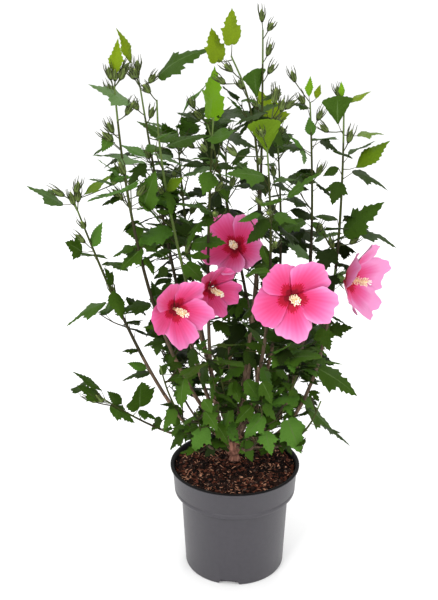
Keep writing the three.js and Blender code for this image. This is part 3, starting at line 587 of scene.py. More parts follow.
def grow_axis(axis, mass, random, rule, level):
    """Leaves, buds and side twigs at the nodes of one axis: a stem (level 0) or a side twig (level 1)."""
    internode = rule["low_internode" if axis["low"] else "internode"] * axis.get("stride", 1)
    turn, count, length = random() * 360, 0, axis["line"].length
    places, along = [], axis["start"]
    while along < length - internode / 2:
        places.append(along)
        along += internode * (0.85 + 0.3 * random())
    for along in places + [length - TIP_DEPTH] * 2:
        node, ahead = axis["line"].at(along), axis["line"].ahead(along)
        youth = min(max(1 - (length - along) / rule["young_length"], 0), 1) * axis["softness"]
        count += 1
        turn += rule["golden_angle"]
        reference = unit(np.cross(np.array([1.0, 0, 0]) if abs(ahead[2]) > 0.95 else UP, ahead))

        def outward_at(degrees):
            return spun(reference, ahead, degrees)
        standing = random()
        leaf_wanted = along <= length - axis["buds_only"]
        for extra, scale in rule["tries"] if leaf_wanted else []:
            try_random = seeded_random(1 + math.floor(standing * 1e6))
            leaf = stand_leaf(node, ahead, outward_at(turn + extra), youth, axis["low"],
                              scale * rule["leaf_scale"], try_random)
            feelers = feelers_of(leaf)
            if is_free(feelers, mass.own, rule) and mass.is_clear(feelers, rule):
                leaf["fine"] = rule is not RULE
                mass.leaves.append(leaf)
                mass.feelers.extend(feelers)
                break
        bud_ahead = unit(outward_at(turn + 30) + ahead * 1.2)
        bud_length = 14 + 14 * random()
        bud_wanted = (random() < rule["bud_chance"] and axis["share"](along) > rule["bud_from"]
                      and not axis["low"])
        bud_node = axis["line"].at(min(along + rule["axil_step"], length - TIP_DEPTH / 2))
        bud_tip = (bud_node + bud_ahead * (bud_length + BUD_LENGTH))[None]
        if bud_wanted and is_free(bud_tip, mass.own, rule) and mass.is_clear(bud_tip, rule):
            mass.buds.append((bud_node, bud_ahead, bud_length))
            mass.feelers.append(bud_tip[0])
        every = rule["low_twig_every" if axis["low"] else "twig_every"]
        twig_wanted = leaf_wanted and level == 0 and count % every == 1
        twig_length = rule["low_twig_length" if axis["low"] else "twig_length"] * (0.75 + 0.5 * random())
        twig_turn = turn + 180 + 60 * (random() - 0.5)
        if not twig_wanted:
            continue
        for extra, _ in rule["tries"]:
            angle = math.radians(rule["twig_angle"])
            out = unit(outward_at(twig_turn + extra) * math.sin(angle) + ahead * math.cos(angle))
            fork = node - ahead * rule["axil_step"]
            end = fork + out * twig_length + UP * 0.15 * twig_length
            middle = mix(fork, end, 0.5) - UP * 0.06 * twig_length
            line = Course([fork, middle, end])
            tried = np.array([line.at(share * line.length) for share in (0.3, 0.5, 0.65, 0.8, 1)])
            if not (is_free(tried, mass.own, rule) and mass.is_clear(tried, rule)):
                continue
            held = len(mass.leaves), len(mass.buds), len(mass.pieces)
            mass.pieces.extend(pieces_of(line.points))
            grow_axis(dict(line=line, start=0.45 * line.length, share=lambda _, a=along: axis["share"](a),
                           softness=0.5 * axis["softness"] if rule is FINE else 0.5, buds_only=0,
                           low=axis["low"]), mass, random, rule, 1)
            if len(mass.leaves) > held[0]:
                mass.twigs.append(line)
            else:  # a twig that found no room for a leaf is dropped
                del mass.buds[held[1]:], mass.pieces[held[2]:]
            break


# How far apart the finer growth stands on some stems, as a share of the rule's own step.
STRIDE = {"far_left": 2.2, "left": 1.7, "left_mid": 1.5, "centre_back": 1.8, "centre_top": 1.7, "right": 1.7,
          "right_back": 1.6, "centre_front": 1.3}
DRESSED_TIP = 75  # the length at the end of a stem that only its key leaves dress
# How many times the finer rule is carried over a stem, where that isn't 3 on a low shoot and once elsewhere.
PASSES = {"low_left": 0, "low_right": 4, "low_back_left": 3, "low_back_right": 3, "low_back": 5,
          "low_front_left": 7, "low_front_right": 7, "mid_left": 2, "mid_right": 2, "mid_front": 2,
          "centre_left": 2, "left_inner": 2, "centre_lean": 2, "back_left": 2, "back_mid": 2}


def grow_mass(own):
    stem, mass = stems[own], Mass(own)
    for spec in KEY_LEAVES.get(stem.name, []):
        leaf = key_leaf(stem, *spec)
        mass.leaves.append(leaf)
        mass.feelers.extend(feelers_of(leaf))
    for x, y in KEY_BUDS.get(stem.name, []):
        foot = behind_pixel(x, y, depth_beside(stem, x, y))
        node = node_below(stem, foot, 14)
        ahead = unit(unit(foot - node) + UP * 0.9)
        mass.key_buds.append((node, foot, ahead))
        mass.feelers.append(foot + ahead * BUD_LENGTH / 2)
    start = stem.bare_steps / stem.steps * stem.line.length
    dressed = DRESSED_TIP if stem.name in KEY_LEAVES and not stem.low else 0
    axis = dict(line=stem.line, start=start + 12, share=lambda distance: distance / stem.line.length,
                softness=0.3 if stem.low else 1, buds_only=max(stem.buds_only, dressed), low=stem.low)
    grow_axis(axis, mass, seeded_random(RULE["seed"] + own), RULE, 0)
    for turn in range(PASSES.get(stem.name, 3 if stem.low else 1)):
        grow_axis(dict(axis, start=start + 6 + 3 * turn, stride=STRIDE.get(stem.name, 1)), mass,
                  seeded_random(FINE["seed"] + own + 100 * turn), FINE, 0)
    return mass


masses = [grow_mass(own) for own in range(len(stems))]
all_leaves = [leaf for mass in masses for leaf in mass.leaves]
placed = sum("green" in leaf for leaf in all_leaves)
finer = sum(leaf["fine"] for leaf in all_leaves)
print("leaves", placed, "placed,", len(all_leaves) - placed - finer, "of the source's rule,", finer, "finer")
print("twigs", sum(len(mass.twigs) for mass in masses), "buds", sum(len(mass.buds) for mass in masses), "and",
      sum(len(mass.key_buds) for mass in masses), "placed")

# ---------- meshes ----------


class Sheaf:
    """Many small pieces of one kind, gathered into one mesh with a material number for each face."""

    def __init__(self):
        self.points, self.tones, self.count = [], [], 0
        self.faces = {3: [], 4: []}
        self.tints = {3: [], 4: []}

    def add(self, points, quads=(), tris=(), tint=0, tri_tint=None, tone=0):
        for size, faces, tints in ((4, quads, tint), (3, tris, tint if tri_tint is None else tri_tint)):
            if len(faces):
                self.faces[size].append(np.asarray(faces, int) + self.count)
                self.tints[size].append(np.broadcast_to(tints, len(faces)))
        self.points.append(np.asarray(points, float))
        self.tones.append(np.broadcast_to(tone, len(points)))
        self.count += len(points)

    def build(self, name, materials, slot, smooth=True, toned=False):
        points = np.concatenate(self.points) * MM
        faces = {size: np.concatenate(held) if held else np.zeros((0, size), int)
                 for size, held in self.faces.items()}
        mesh = bpy.data.meshes.new(name)
        mesh.vertices.add(len(points))
        mesh.vertices.foreach_set("co", points.astype(np.float32).ravel())
        corners = np.concatenate([faces[4].ravel(), faces[3].ravel()])
        mesh.loops.add(len(corners))
        mesh.loops.foreach_set("vertex_index", corners.astype(np.int32))
        four_starts = np.arange(len(faces[4])) * 4
        starts = np.concatenate([four_starts, 4 * len(faces[4]) + np.arange(len(faces[3])) * 3])
        mesh.polygons.add(len(starts))
        mesh.polygons.foreach_set("loop_start", starts.astype(np.int32))
        tints = np.concatenate(self.tints[4] + self.tints[3])
        mesh.polygons.foreach_set("material_index", tints.astype(np.int32))
        mesh.polygons.foreach_set("use_smooth", np.full(len(starts), smooth))
        mesh.update(calc_edges=True)
        if toned:
            mesh.attributes.new("tone", "FLOAT", "POINT").data.foreach_set(
                "value", np.concatenate(self.tones).astype(np.float32))
        mesh.validate()
        for entry in materials:
            mesh.materials.append(entry)
        piece = bpy.data.objects.new(name, mesh)
        bpy.context.scene.collection.objects.link(piece)
        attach(piece, "root")
        print(name, len(faces[4]) * 2 + len(faces[3]), "triangles")
        return piece


def add_tube(sheaf, path, radii, sides, tint=0, wobble=None):
    """A round limb along a path; wobble gives each point of each ring its own share of the radius."""
    path = np.asarray(path, float)
    radii = np.broadcast_to(radii, len(path))
    ahead = np.gradient(path, axis=0)
    ahead /= np.linalg.norm(ahead, axis=1)[:, None]
    across = np.array([1.0, 0, 0]) if abs(ahead[0][2]) > 0.9 else UP
    turns = 2 * np.pi * np.arange(sides) / sides
    points = []
    for ring, centre in enumerate(path):
        across = unit(across - ahead[ring] * (across @ ahead[ring]))
        third = np.cross(ahead[ring], across)
        circle = np.cos(turns)[:, None] * across + np.sin(turns)[:, None] * third
        share = 1 if wobble is None else wobble[ring][:, None]
        points.append(centre + circle * radii[ring] * share)
    points = np.concatenate(points)
    ring_start = np.arange(len(path) - 1)[:, None] * sides
    side = np.arange(sides)[None]
    nxt = (side + 1) % sides
    quads = np.stack([ring_start + side, ring_start + nxt, ring_start + nxt + sides,
                      ring_start + side + sides], axis=-1).reshape(-1, 4)
    end = (len(path) - 1) * sides
    tris = [(0, i + 1, i) for i in range(1, sides - 1)]
    tris += [(end, end + i, end + i + 1) for i in range(1, sides - 1)]
    tint = np.asarray(tint)
    if tint.ndim:  # one material for each stretch between rings
        tint = np.repeat(tint, sides)
        sheaf.add(points, quads, tris, tint, tri_tint=tint[-1])
    else:
        sheaf.add(points, quads, tris, tint)


def smooth_path(points, per_piece):
    """A Catmull-Rom curve through the points."""
    points = np.asarray(points, float)
    padded = np.concatenate([[2 * points[0] - points[1]], points, [2 * points[-1] - points[-2]]])
    made = []
    for i in range(len(points) - 1):
        a, b, c, d = padded[i:i + 4]
        for t in np.arange(per_piece) / per_piece:
            made.append(0.5 * (2 * b + (c - a) * t + (2 * a - 5 * b + 4 * c - d) * t ** 2
                               + (3 * b - a - 3 * c + d) * t ** 3))
    return np.array(made + [points[-1]])


# ---------- materials ----------


def linear(rgb):
    """A screen colour, 0 to 255, as the linear colour that a shader takes."""
    parts = [c / 255 for c in rgb]
    return tuple(c / 12.92 if c <= 0.04045 else ((c + 0.055) / 1.055) ** 2.4 for c in parts) + (1,)


def shader(name, rgb, roughness, specular=0.5, **sockets):
    made = bpy.data.materials.new(name)
    made.use_nodes = True
    node = made.node_tree.nodes["Principled BSDF"]
    node.inputs["Base Color"].default_value = linear(rgb)
    node.inputs["Roughness"].default_value = roughness
    node.inputs["Specular IOR Level"].default_value = specular
    for key, value in sockets.items():
        node.inputs[key.replace("_", " ")].default_value = value
    return made


def noise_on(made, scale, detail, stretch):
    """Noise that stays with the object it colours or roughens; scale is in features a metre."""
    nodes, links = made.node_tree.nodes, made.node_tree.links
    place, turn = nodes.new("ShaderNodeTexCoord"), nodes.new("ShaderNodeMapping")
    noise = nodes.new("ShaderNodeTexNoise")
    turn.inputs["Scale"].default_value = stretch
    noise.inputs["Scale"].default_value = scale
    noise.inputs["Detail"].default_value = detail
    links.new(place.outputs["Object"], turn.inputs["Vector"])
    links.new(turn.outputs["Vector"], noise.inputs["Vector"])
    return noise


def add_bump(made, scale, distance, detail=3.0, stretch=(1, 1, 1)):
    """Fine relief from noise; distance is in metres."""
    nodes, links = made.node_tree.nodes, made.node_tree.links
    noise, bump = noise_on(made, scale, detail, stretch), nodes.new("ShaderNodeBump")
    bump.inputs["Distance"].default_value = distance
    bump.inputs["Strength"].default_value = 1.0
    links.new(noise.outputs["Fac"], bump.inputs["Height"])
    links.new(bump.outputs["Normal"], nodes["Principled BSDF"].inputs["Normal"])


def add_mottle(made, dark, light, scale, low=0.35, high=0.65, detail=4.0, stretch=(1, 1, 1)):
    """A base colour that drifts between two colours by noise."""
    nodes, links = made.node_tree.nodes, made.node_tree.links
    noise, ramp = noise_on(made, scale, detail, stretch), nodes.new("ShaderNodeValToRGB")
    for element, position, rgb in zip(ramp.color_ramp.elements, (low, high), (dark, light)):
        element.position, element.color = position, linear(rgb)
    links.new(noise.outputs["Fac"], ramp.inputs["Fac"])
    links.new(ramp.outputs["Color"], nodes["Principled BSDF"].inputs["Base Color"])


def add_tone(made, stops):
    """A base colour that follows the mesh's own tone, from 0 to 1, through the stops."""
    nodes, links = made.node_tree.nodes, made.node_tree.links
    tone, ramp = nodes.new("ShaderNodeAttribute"), nodes.new("ShaderNodeValToRGB")
    tone.attribute_name = "tone"
    while len(ramp.color_ramp.elements) < len(stops):
        ramp.color_ramp.elements.new(0.5)
    for element, (position, rgb) in zip(ramp.color_ramp.elements, stops):
        element.position, element.color = position, linear(rgb)
    links.new(tone.outputs["Fac"], ramp.inputs["Fac"])
    links.new(ramp.outputs["Color"], nodes["Principled BSDF"].inputs["Base Color"])


# ---------- leaves ----------

# Half outlines of a blade from base to tip, (along, aside) in shares of its length, and for each point the
# place on the midrib where its vein starts.
RIB_STARTS = [0.012, 0.03, 0.06, 0.10, 0.14, 0.19, 0.25, 0.31, 0.36, 0.41, 0.47, 0.53, 0.58, 0.64, 0.70, 0.77,
              0.86]
OUTLINES = {
    "broad": [(-0.04, 0.09), (-0.02, 0.19), (0.06, 0.275), (0.10, 0.27), (0.18, 0.345), (0.23, 0.335),
              (0.33, 0.40), (0.37, 0.375), (0.48, 0.43), (0.49, 0.29), (0.54, 0.235), (0.63, 0.275),
              (0.66, 0.205), (0.74, 0.20), (0.78, 0.13), (0.87, 0.11), (0.92, 0.045)],
    "lobed": [(0.0, 0.06), (0.03, 0.16), (0.10, 0.25), (0.14, 0.24), (0.23, 0.34), (0.27, 0.32), (0.41, 0.46),
              (0.43, 0.345), (0.51, 0.32), (0.49, 0.215), (0.55, 0.19), (0.64, 0.255), (0.67, 0.17),
              (0.75, 0.175), (0.79, 0.105), (0.87, 0.10), (0.92, 0.04)],
    "cleft": [(0.03, 0.05), (0.07, 0.14), (0.14, 0.21), (0.18, 0.19), (0.28, 0.30), (0.32, 0.265),
              (0.46, 0.40), (0.44, 0.29), (0.47, 0.235), (0.44, 0.14), (0.52, 0.12), (0.61, 0.195),
              (0.64, 0.13), (0.72, 0.165), (0.76, 0.085), (0.85, 0.10), (0.91, 0.035)],
    "fan": [(0.0, 0.03), (0.1, 0.07), (0.2, 0.13), (0.3, 0.18), (0.42, 0.26), (0.5, 0.29), (0.6, 0.37),
            (0.66, 0.38), (0.74, 0.46), (0.8, 0.5), (0.87, 0.46), (0.9, 0.40), (0.91, 0.35), (0.96, 0.29),
            (0.95, 0.22), (0.99, 0.14), (1.0, 0.05)],
    "ovate": [(0.06, 0.08), (0.15, 0.19), (0.22, 0.235), (0.25, 0.23), (0.33, 0.30), (0.36, 0.275),
              (0.43, 0.315), (0.46, 0.27), (0.53, 0.285), (0.56, 0.225), (0.63, 0.235), (0.66, 0.17),
              (0.73, 0.18), (0.76, 0.12), (0.83, 0.12), (0.87, 0.06), (0.93, 0.04)],
    "narrow": [(0.06, 0.05), (0.15, 0.12), (0.22, 0.17), (0.26, 0.165), (0.34, 0.225), (0.37, 0.205),
               (0.44, 0.26), (0.47, 0.21), (0.53, 0.21), (0.56, 0.155), (0.63, 0.175), (0.67, 0.12),
               (0.74, 0.135), (0.77, 0.085), (0.84, 0.085), (0.88, 0.045), (0.94, 0.03)],
}


class Blade:
    """A leaf's grid in shares of its length: columns from the midrib to the edge, rows from base to tip."""

    def __init__(self, outline, columns):
        rows = len(outline)
        along, aside, bulge = [0.0, 1.0] + RIB_STARTS, [0.0] * (2 + rows), [0.0] * (2 + rows)
        rib = list(range(2, 2 + rows))
        quads, tris, ribs = [], [], []
        for hand in (1, -1):
            before = rib
            for column, share in enumerate(columns):
                here = list(range(len(along), len(along) + rows))
                along += [mix(start, a, share) for start, (a, _) in zip(RIB_STARTS, outline)]
                aside += [hand * share * s for _, s in outline]
                bulge += [(-1) ** row * share * (1 - share) for row in range(rows)]
                for row in range(rows - 1):
                    quad = (before[row], here[row], here[row + 1], before[row + 1])
                    quads.append(quad if hand > 0 else quad[::-1])
                    ribs.append(column == 0 and len(columns) > 2)
                for point, row in ((0, 0), (1, rows - 1)):
                    tri = (point, here[row], before[row]) if point == 0 else (before[row], here[row], point)
                    tris.append(tri if hand > 0 else tri[::-1])
                before = here
        self.along, self.aside, self.bulge = np.array(along), np.array(aside), np.array(bulge)
        self.quads, self.tris, self.ribs = np.array(quads), np.array(tris), np.array(ribs)


BLADES = {(kind, full): Blade(outline, (0.05, 0.5, 1) if full else (0.5, 1))
          for kind, outline in OUTLINES.items() for full in (True, False)}


# Greens dealt out by spray: name, colour, roughness. The grey-green before the rib's green is a painted
# highlight: light glancing off glossy leaves, put into their colour.
GREENS = [
    ("deep", (29, 42, 10), 0.6),
    ("dark", (40, 60, 11), 0.6),
    ("mature", (51, 77, 15), 0.6),
    ("mid", (59, 89, 23), 0.6),
    ("fresh", (68, 104, 34), 0.58),
    ("light", (84, 110, 15), 0.55),
    ("young", (104, 126, 14), 0.55),
    ("newest", (100, 142, 18), 0.52),
    ("painted_sheen", (84, 112, 60), 0.6),
    ("rib", (74, 98, 46), 0.6),
]
GREEN_NUMBER = {name: number for number, (name, _, _) in enumerate(GREENS)}
RIB_TINT = GREEN_NUMBER["rib"]


def leaf_material(name, rgb, roughness):
    made = shader(f"leaf_{name}", rgb, roughness, specular=0.08)
    add_bump(made, 420, 0.0006, detail=2)
    return made


leaf_materials = [leaf_material(*green) for green in GREENS]


def leaf_tint(leaf, spray_shade, random):
    """The number of a leaf's green: darker when old and in the middle, lighter when young or low."""
    if "green" in leaf:
        return GREEN_NUMBER[leaf["green"]]
    shade = mix(0.9, 6.4, leaf["youth"] ** 1.5)
    if leaf["low"]:
        shade = 2.0 + 1.5 * leaf["youth"] + (random() - 0.5) * 2.2
    shade += spray_shade + (random() - 0.5) * 2.4
    return int(min(max(round(shade), 0), GREEN_NUMBER["newest"]))


def leaf_outline(leaf, pick):
    """A placed leaf's own outline, or one by chance (pick, 0 to 1), height and age."""
    if "outline" in leaf:
        return leaf["outline"]
    if leaf["low"]:
        return "broad" if pick < 0.15 else "lobed" if pick < 0.6 else "cleft"
    if leaf["youth"] > 0.55 and pick < 0.7:
        return "narrow"
    return "cleft" if pick < 0.45 else "lobed" if pick < 0.8 else "ovate"


def add_leaf(leaf, blades, stalks, spray_shade, random):
    """A leaf's blade, waved, bent and with raised cells between its veins, and its stalk."""
    pick = random()
    shape = BLADES[leaf_outline(leaf, pick), not leaf["fine"]]
    wave, phase, bend = 0.02 + 0.03 * random(), random() * 6.28, (random() - 0.5) * 0.24
    points = blade_point(leaf, shape.along, shape.aside)
    along, aside = shape.along[:, None], shape.aside[:, None]
    ripple = wave * np.sin(9 * along + phase + 2.5 * np.sign(aside)) * np.abs(aside) * 3
    relief = ripple + 0.35 * aside ** 2 * (random() - 0.6) + 0.07 * shape.bulge[:, None]
    points = points + leaf["length"] * (leaf["normal"] * relief + leaf["side"] * bend * along ** 2)
    tint = leaf_tint(leaf, spray_shade, random)
    ribbed = GREEN_NUMBER["dark"] < tint < GREEN_NUMBER["light"] and pick < 0.7
    blades.add(points, shape.quads, shape.tris, np.where(shape.ribs & ribbed, RIB_TINT, tint), tri_tint=tint)
    root, base = leaf["node"], leaf["base"]
    sag = mix(root, base, 0.55) - UP * 0.05 * np.linalg.norm(base - root)
    add_tube(stalks, [root, sag, base + leaf["ahead"] * 0.03 * leaf["length"]],
             np.array([1.1, 0.75, 0.6]) * STEM_RADIUS["petiole"], 4,
             tint=STALK if leaf["youth"] < 0.4 else GREEN_STEM)


# ---------- build the crown ----------

BARK, OLIVE, GREEN_STEM, STALK, BRIGHT_STEM = range(5)
stem_materials = [
    shader("stem_bark", (86, 72, 58), 0.8, specular=0.15),
    shader("stem_olive", (50, 46, 31), 0.7, specular=0.1),
    shader("stem_green", (56, 62, 28), 0.65, specular=0.1),
    shader("leaf_stalk", (64, 62, 34), 0.65, specular=0.1),
    shader("stem_bright", (82, 100, 46), 0.55, specular=0.2),
]
for stem_material in stem_materials:
    add_bump(stem_material, 700, 0.0005, detail=3)

LEFT = {"far_left", "left", "left_mid", "left_inner", "centre_left", "centre_lean", "back_left"}
leaf_sheaves = {"leaves_left": Sheaf(), "leaves_right": Sheaf(), "leaves_low": Sheaf()}
leaf_nodes = {name: [] for name in leaf_sheaves}
shoots, buds = Sheaf(), Sheaf()


def stem_tints(stem, distances_along):
    """Bark at the foot, then olive, then green at the tip."""
    share = np.asarray(distances_along) / stem.line.length
    if stem.name == "left_inner":
        return np.where(share > 0.3, BRIGHT_STEM, OLIVE)
    tints = np.where(share > 0.45, OLIVE, BARK)
    tints = np.where(share > 0.7, GREEN_STEM, tints)
    return np.where(share > 0.92, BRIGHT_STEM, tints)


for own, (stem, mass) in enumerate(zip(stems, masses)):
    random = seeded_random(900 + own)
    group = "leaves_low" if stem.low else "leaves_left" if stem.name in LEFT else "leaves_right"
    leaf_nodes[group].append(f"foliage_{stem.name}")
    spray_shade = (random() - 0.5) * 1.2
    # Painted shade: the leaves of the stems at the back get darker greens, for the shadow deep in the crown.
    if stem.name.startswith(("back", "centre_back", "low_back")):
        spray_shade -= 0.5
    for leaf in mass.leaves:
        add_leaf(leaf, leaf_sheaves[group], shoots, spray_shade, random)
    path = smooth_path(stem.line.points[stem.bare_steps:], 3)
    runs = np.linspace(stem.bare_steps / stem.steps, 1, len(path)) * stem.line.length
    add_tube(shoots, path, stem.radius(runs), 7, tint=stem_tints(stem, (runs[1:] + runs[:-1]) / 2))
    for line in mass.twigs:
        add_tube(shoots, smooth_path(line.points, 3), np.linspace(1.25, 0.8, 7), 5,
                 tint=OLIVE if stem.low or line.points[0][2] < 520 else GREEN_STEM)

for name, sheaf in leaf_sheaves.items():
    piece = sheaf.build(name, leaf_materials, "foliage")
    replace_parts(piece, *leaf_nodes[name])
shoots.build("shoots", stem_materials, "foliage")

# ---------- buds ----------

CALYX_GREEN, BRACT_GREEN, TIP_GREEN = range(3)
bud_materials = [
    shader("bud_green", (82, 98, 44), 0.55, specular=0.2),
    shader("bud_bract", (58, 66, 32), 0.55, specular=0.2),
    shader("bud_pale", (118, 130, 66), 0.55, specular=0.2),
]


def turned_out(across, third, turn):
    """The direction at an angle between two that cross at right angles."""
    return across * math.cos(turn) + third * math.sin(turn)


def frame_about(ahead):
    """Two directions at right angles to one and to each other."""
    across = unit(np.cross(UP if abs(ahead[2]) < 0.95 else np.array([1.0, 0, 0]), ahead))
    return across, np.cross(ahead, across)


BUD_LOOK = dict(length=19, radius=4.7, bracts=7, bract_reach=1.3)


def add_bud(node, foot, ahead, length, random):
    """A bud on its stalk: a ribbed pointed calyx in a cup of slender bracts that reach past its tip."""
    across, third = frame_about(ahead)
    add_tube(buds, [node, mix(node, foot, 0.5) - UP * 0.8, foot], [0.9, 0.8, 1.0], 5, tint=BRACT_GREEN)
    rings, sides = 9, 10
    share = np.linspace(0, 1, rings)
    radii = BUD_LOOK["radius"] * (np.sin(np.pi * share ** 0.72) ** 0.8 * 0.97 + 0.03)
    turns = 2 * np.pi * np.arange(sides) / sides
    ribs = 1 + 0.1 * np.cos(5 * turns)
    add_tube(buds, [foot + ahead * length * s for s in share], radii, sides,
             tint=np.where(share[:-1] > 0.8, TIP_GREEN, CALYX_GREEN), wobble=[ribs] * rings)
    for k in range(BUD_LOOK["bracts"]):
        turn = 2 * np.pi * (k + 0.5 * random()) / BUD_LOOK["bracts"]
        out = turned_out(across, third, turn)
        reach, spread = length * BUD_LOOK["bract_reach"] * (0.8 + 0.35 * random()), 0.8 + 0.5 * random()
        spots = [foot + ahead * (reach * t) + out * (1.3 + spread * 5.2 * math.sin(2.0 * t))
                 for t in (0, 0.3, 0.65, 1)]
        add_tube(buds, spots, [1.1, 1.1, 0.8, 0.3], 3, tint=BRACT_GREEN)


random = seeded_random(77)
for mass in masses:
    for node, foot, ahead in mass.key_buds + [(n, n + a * stalk, a) for n, a, stalk in mass.buds]:
        add_bud(node, foot, ahead, BUD_LOOK["length"] * (0.85 + 0.3 * random()), random)
buds.build("buds", bud_materials, "foliage")

# ---------- blooms ----------

PINK, MAGENTA, EYE, EYE_DEEP = range(4)
petal_materials = [
    shader("petal_pink", (233, 84, 142), 0.6, specular=0.15, Sheen_Weight=0.1),
    shader("petal_magenta", (206, 40, 92), 0.6, specular=0.15),
    shader("petal_eye", (160, 14, 44), 0.6, specular=0.15),
    shader("petal_eye_deep", (118, 5, 28), 0.6, specular=0.15),
]
add_tone(petal_materials[PINK], [(0.0, (194, 46, 100)), (0.25, (200, 62, 116)), (0.55, (204, 90, 146)),
                                 (1.0, (210, 132, 178))])
ACROSS, OUT = 45, 40  # columns and rows of a petal's grid
VEIN_WAVES = 34  # how closely the veins lie across a petal
# Painted light: the lower petals of each bloom pale furthest towards their edge.
PETAL_PAINTED_LIGHT = (0.5, 0.4, 1.0, 0.95, 0.75)  # how far each petal pales towards its edge


def petal_point(bloom, share, turn):
    """Points of the open funnel that the petals lie on, at a share of its radius and an angle round it."""
    rise = -bloom.funnel + (bloom.funnel + bloom.flare) * share ** 1.5
    return (bloom.centre + rise[..., None] * bloom.ahead
            + (bloom.radius * share * np.cos(turn))[..., None] * bloom.across
            + (bloom.radius * share * np.sin(turn))[..., None] * bloom.third)


def add_petal(sheaf, bloom, number, random):
    """A broad petal with a wavy edge. One side lies over its neighbour and the other under."""
    middle = math.pi / 2 + bloom.spin + (number + 0.5) * 2 * math.pi / BLOOM["petals"]
    v, s = np.meshgrid(np.linspace(-1, 1, ACROSS), np.linspace(0.05, 1, OUT))
    phase, size, lift = random() * 6.28, 1 + 0.1 * (random() - 0.5), (random() - 0.5) * 9
    # Painted light and shade: how far this petal pales, most on the lower petals and on the lit blooms.
    light = PETAL_PAINTED_LIGHT[number] * bloom.pale
    half = 0.7 + 0.06 * np.minimum(s / 0.62, 1)
    edge = 1.05 * size * (1 - 0.34 * np.abs(v + 0.1 * np.sin(phase)) ** 2.4)
    edge += 0.03 * np.sin(7 * v + phase) + 0.016 * np.sin(19 * v + 2 * phase)
    share, turn = s * edge, middle + half * v
    points = petal_point(bloom, share, turn)
    ruffle = (3.2 * np.sin(4.3 * v + phase) + 1.4 * np.sin(10 * v + 2.2 * phase)) * s ** 2.2
    over = 2.6 * v * np.minimum(s / 0.3, 1)
    vein = 0.2 * np.cos(v * VEIN_WAVES) * s * (1 - 0.3 * s)
    raised = ruffle + over + vein + lift * s ** 2 - 4 * s ** 6
    points = points + raised[..., None] * bloom.ahead
    rows, columns = s.shape
    corner = np.arange(rows - 1)[:, None] * columns + np.arange(columns - 1)[None]
    quads = np.stack([corner, corner + 1, corner + columns + 1, corner + columns], axis=-1).reshape(-1, 4)
    radial, fan = share[:-1, :-1], turn[:-1, :-1]
    streak = 0.5 + 0.25 * np.sin(fan * 61 + phase) + 0.25 * np.sin(fan * 37 + 3 * phase)
    tint = np.full(radial.shape, PINK)
    aside = np.abs(v[:-1, :-1])
    eye = 0.34 - 0.13 * aside + 0.11 * streak
    tint[radial < eye + 0.025] = MAGENTA
    tint[radial < eye] = EYE
    tint[radial < 0.55 * eye] = EYE_DEEP
    # The tone lightens from the eye to the edge, as the petal's own colour does, and further by the painted
    # light.
    tone = np.clip((s - 0.3) / 0.7, 0, 1) ** 1.3 * (0.35 + 0.65 * light)
    tone = tone + 0.12 * np.abs(v) ** 2
    tone = tone + 0.04 * np.cos(v * VEIN_WAVES)
    sheaf.add(points.reshape(-1, 3), quads, tint=tint.ravel(), tone=np.clip(tone, 0, 1).ravel())


heart_materials = [shader("column_cream", (244, 226, 170), 0.6), shader("anther", (250, 240, 205), 0.7),
                   shader("stigma", (252, 246, 236), 0.6), shader("calyx_green", (98, 132, 56), 0.5)]
COLUMN, ANTHER, STIGMA, CALYX = range(4)
STAMENS, STIGMAS = 90, 5
# The green pieces behind the petals: how many, their reach and spread (mm), how they open, their width (mm).
SEPALS, OUTER_BRACTS = (5, 20, 15, 1.1, 4.2), (8, 13, 13, 0.8, 1.1)
BEAD = np.array([(1, 0, 0), (-1, 0, 0), (0, 1, 0), (0, -1, 0), (0, 0, 1), (0, 0, -1)], float)
BEAD_TRIS = [(0, 2, 4), (2, 1, 4), (1, 3, 4), (3, 0, 4), (2, 0, 5), (1, 2, 5), (3, 1, 5), (0, 3, 5)]


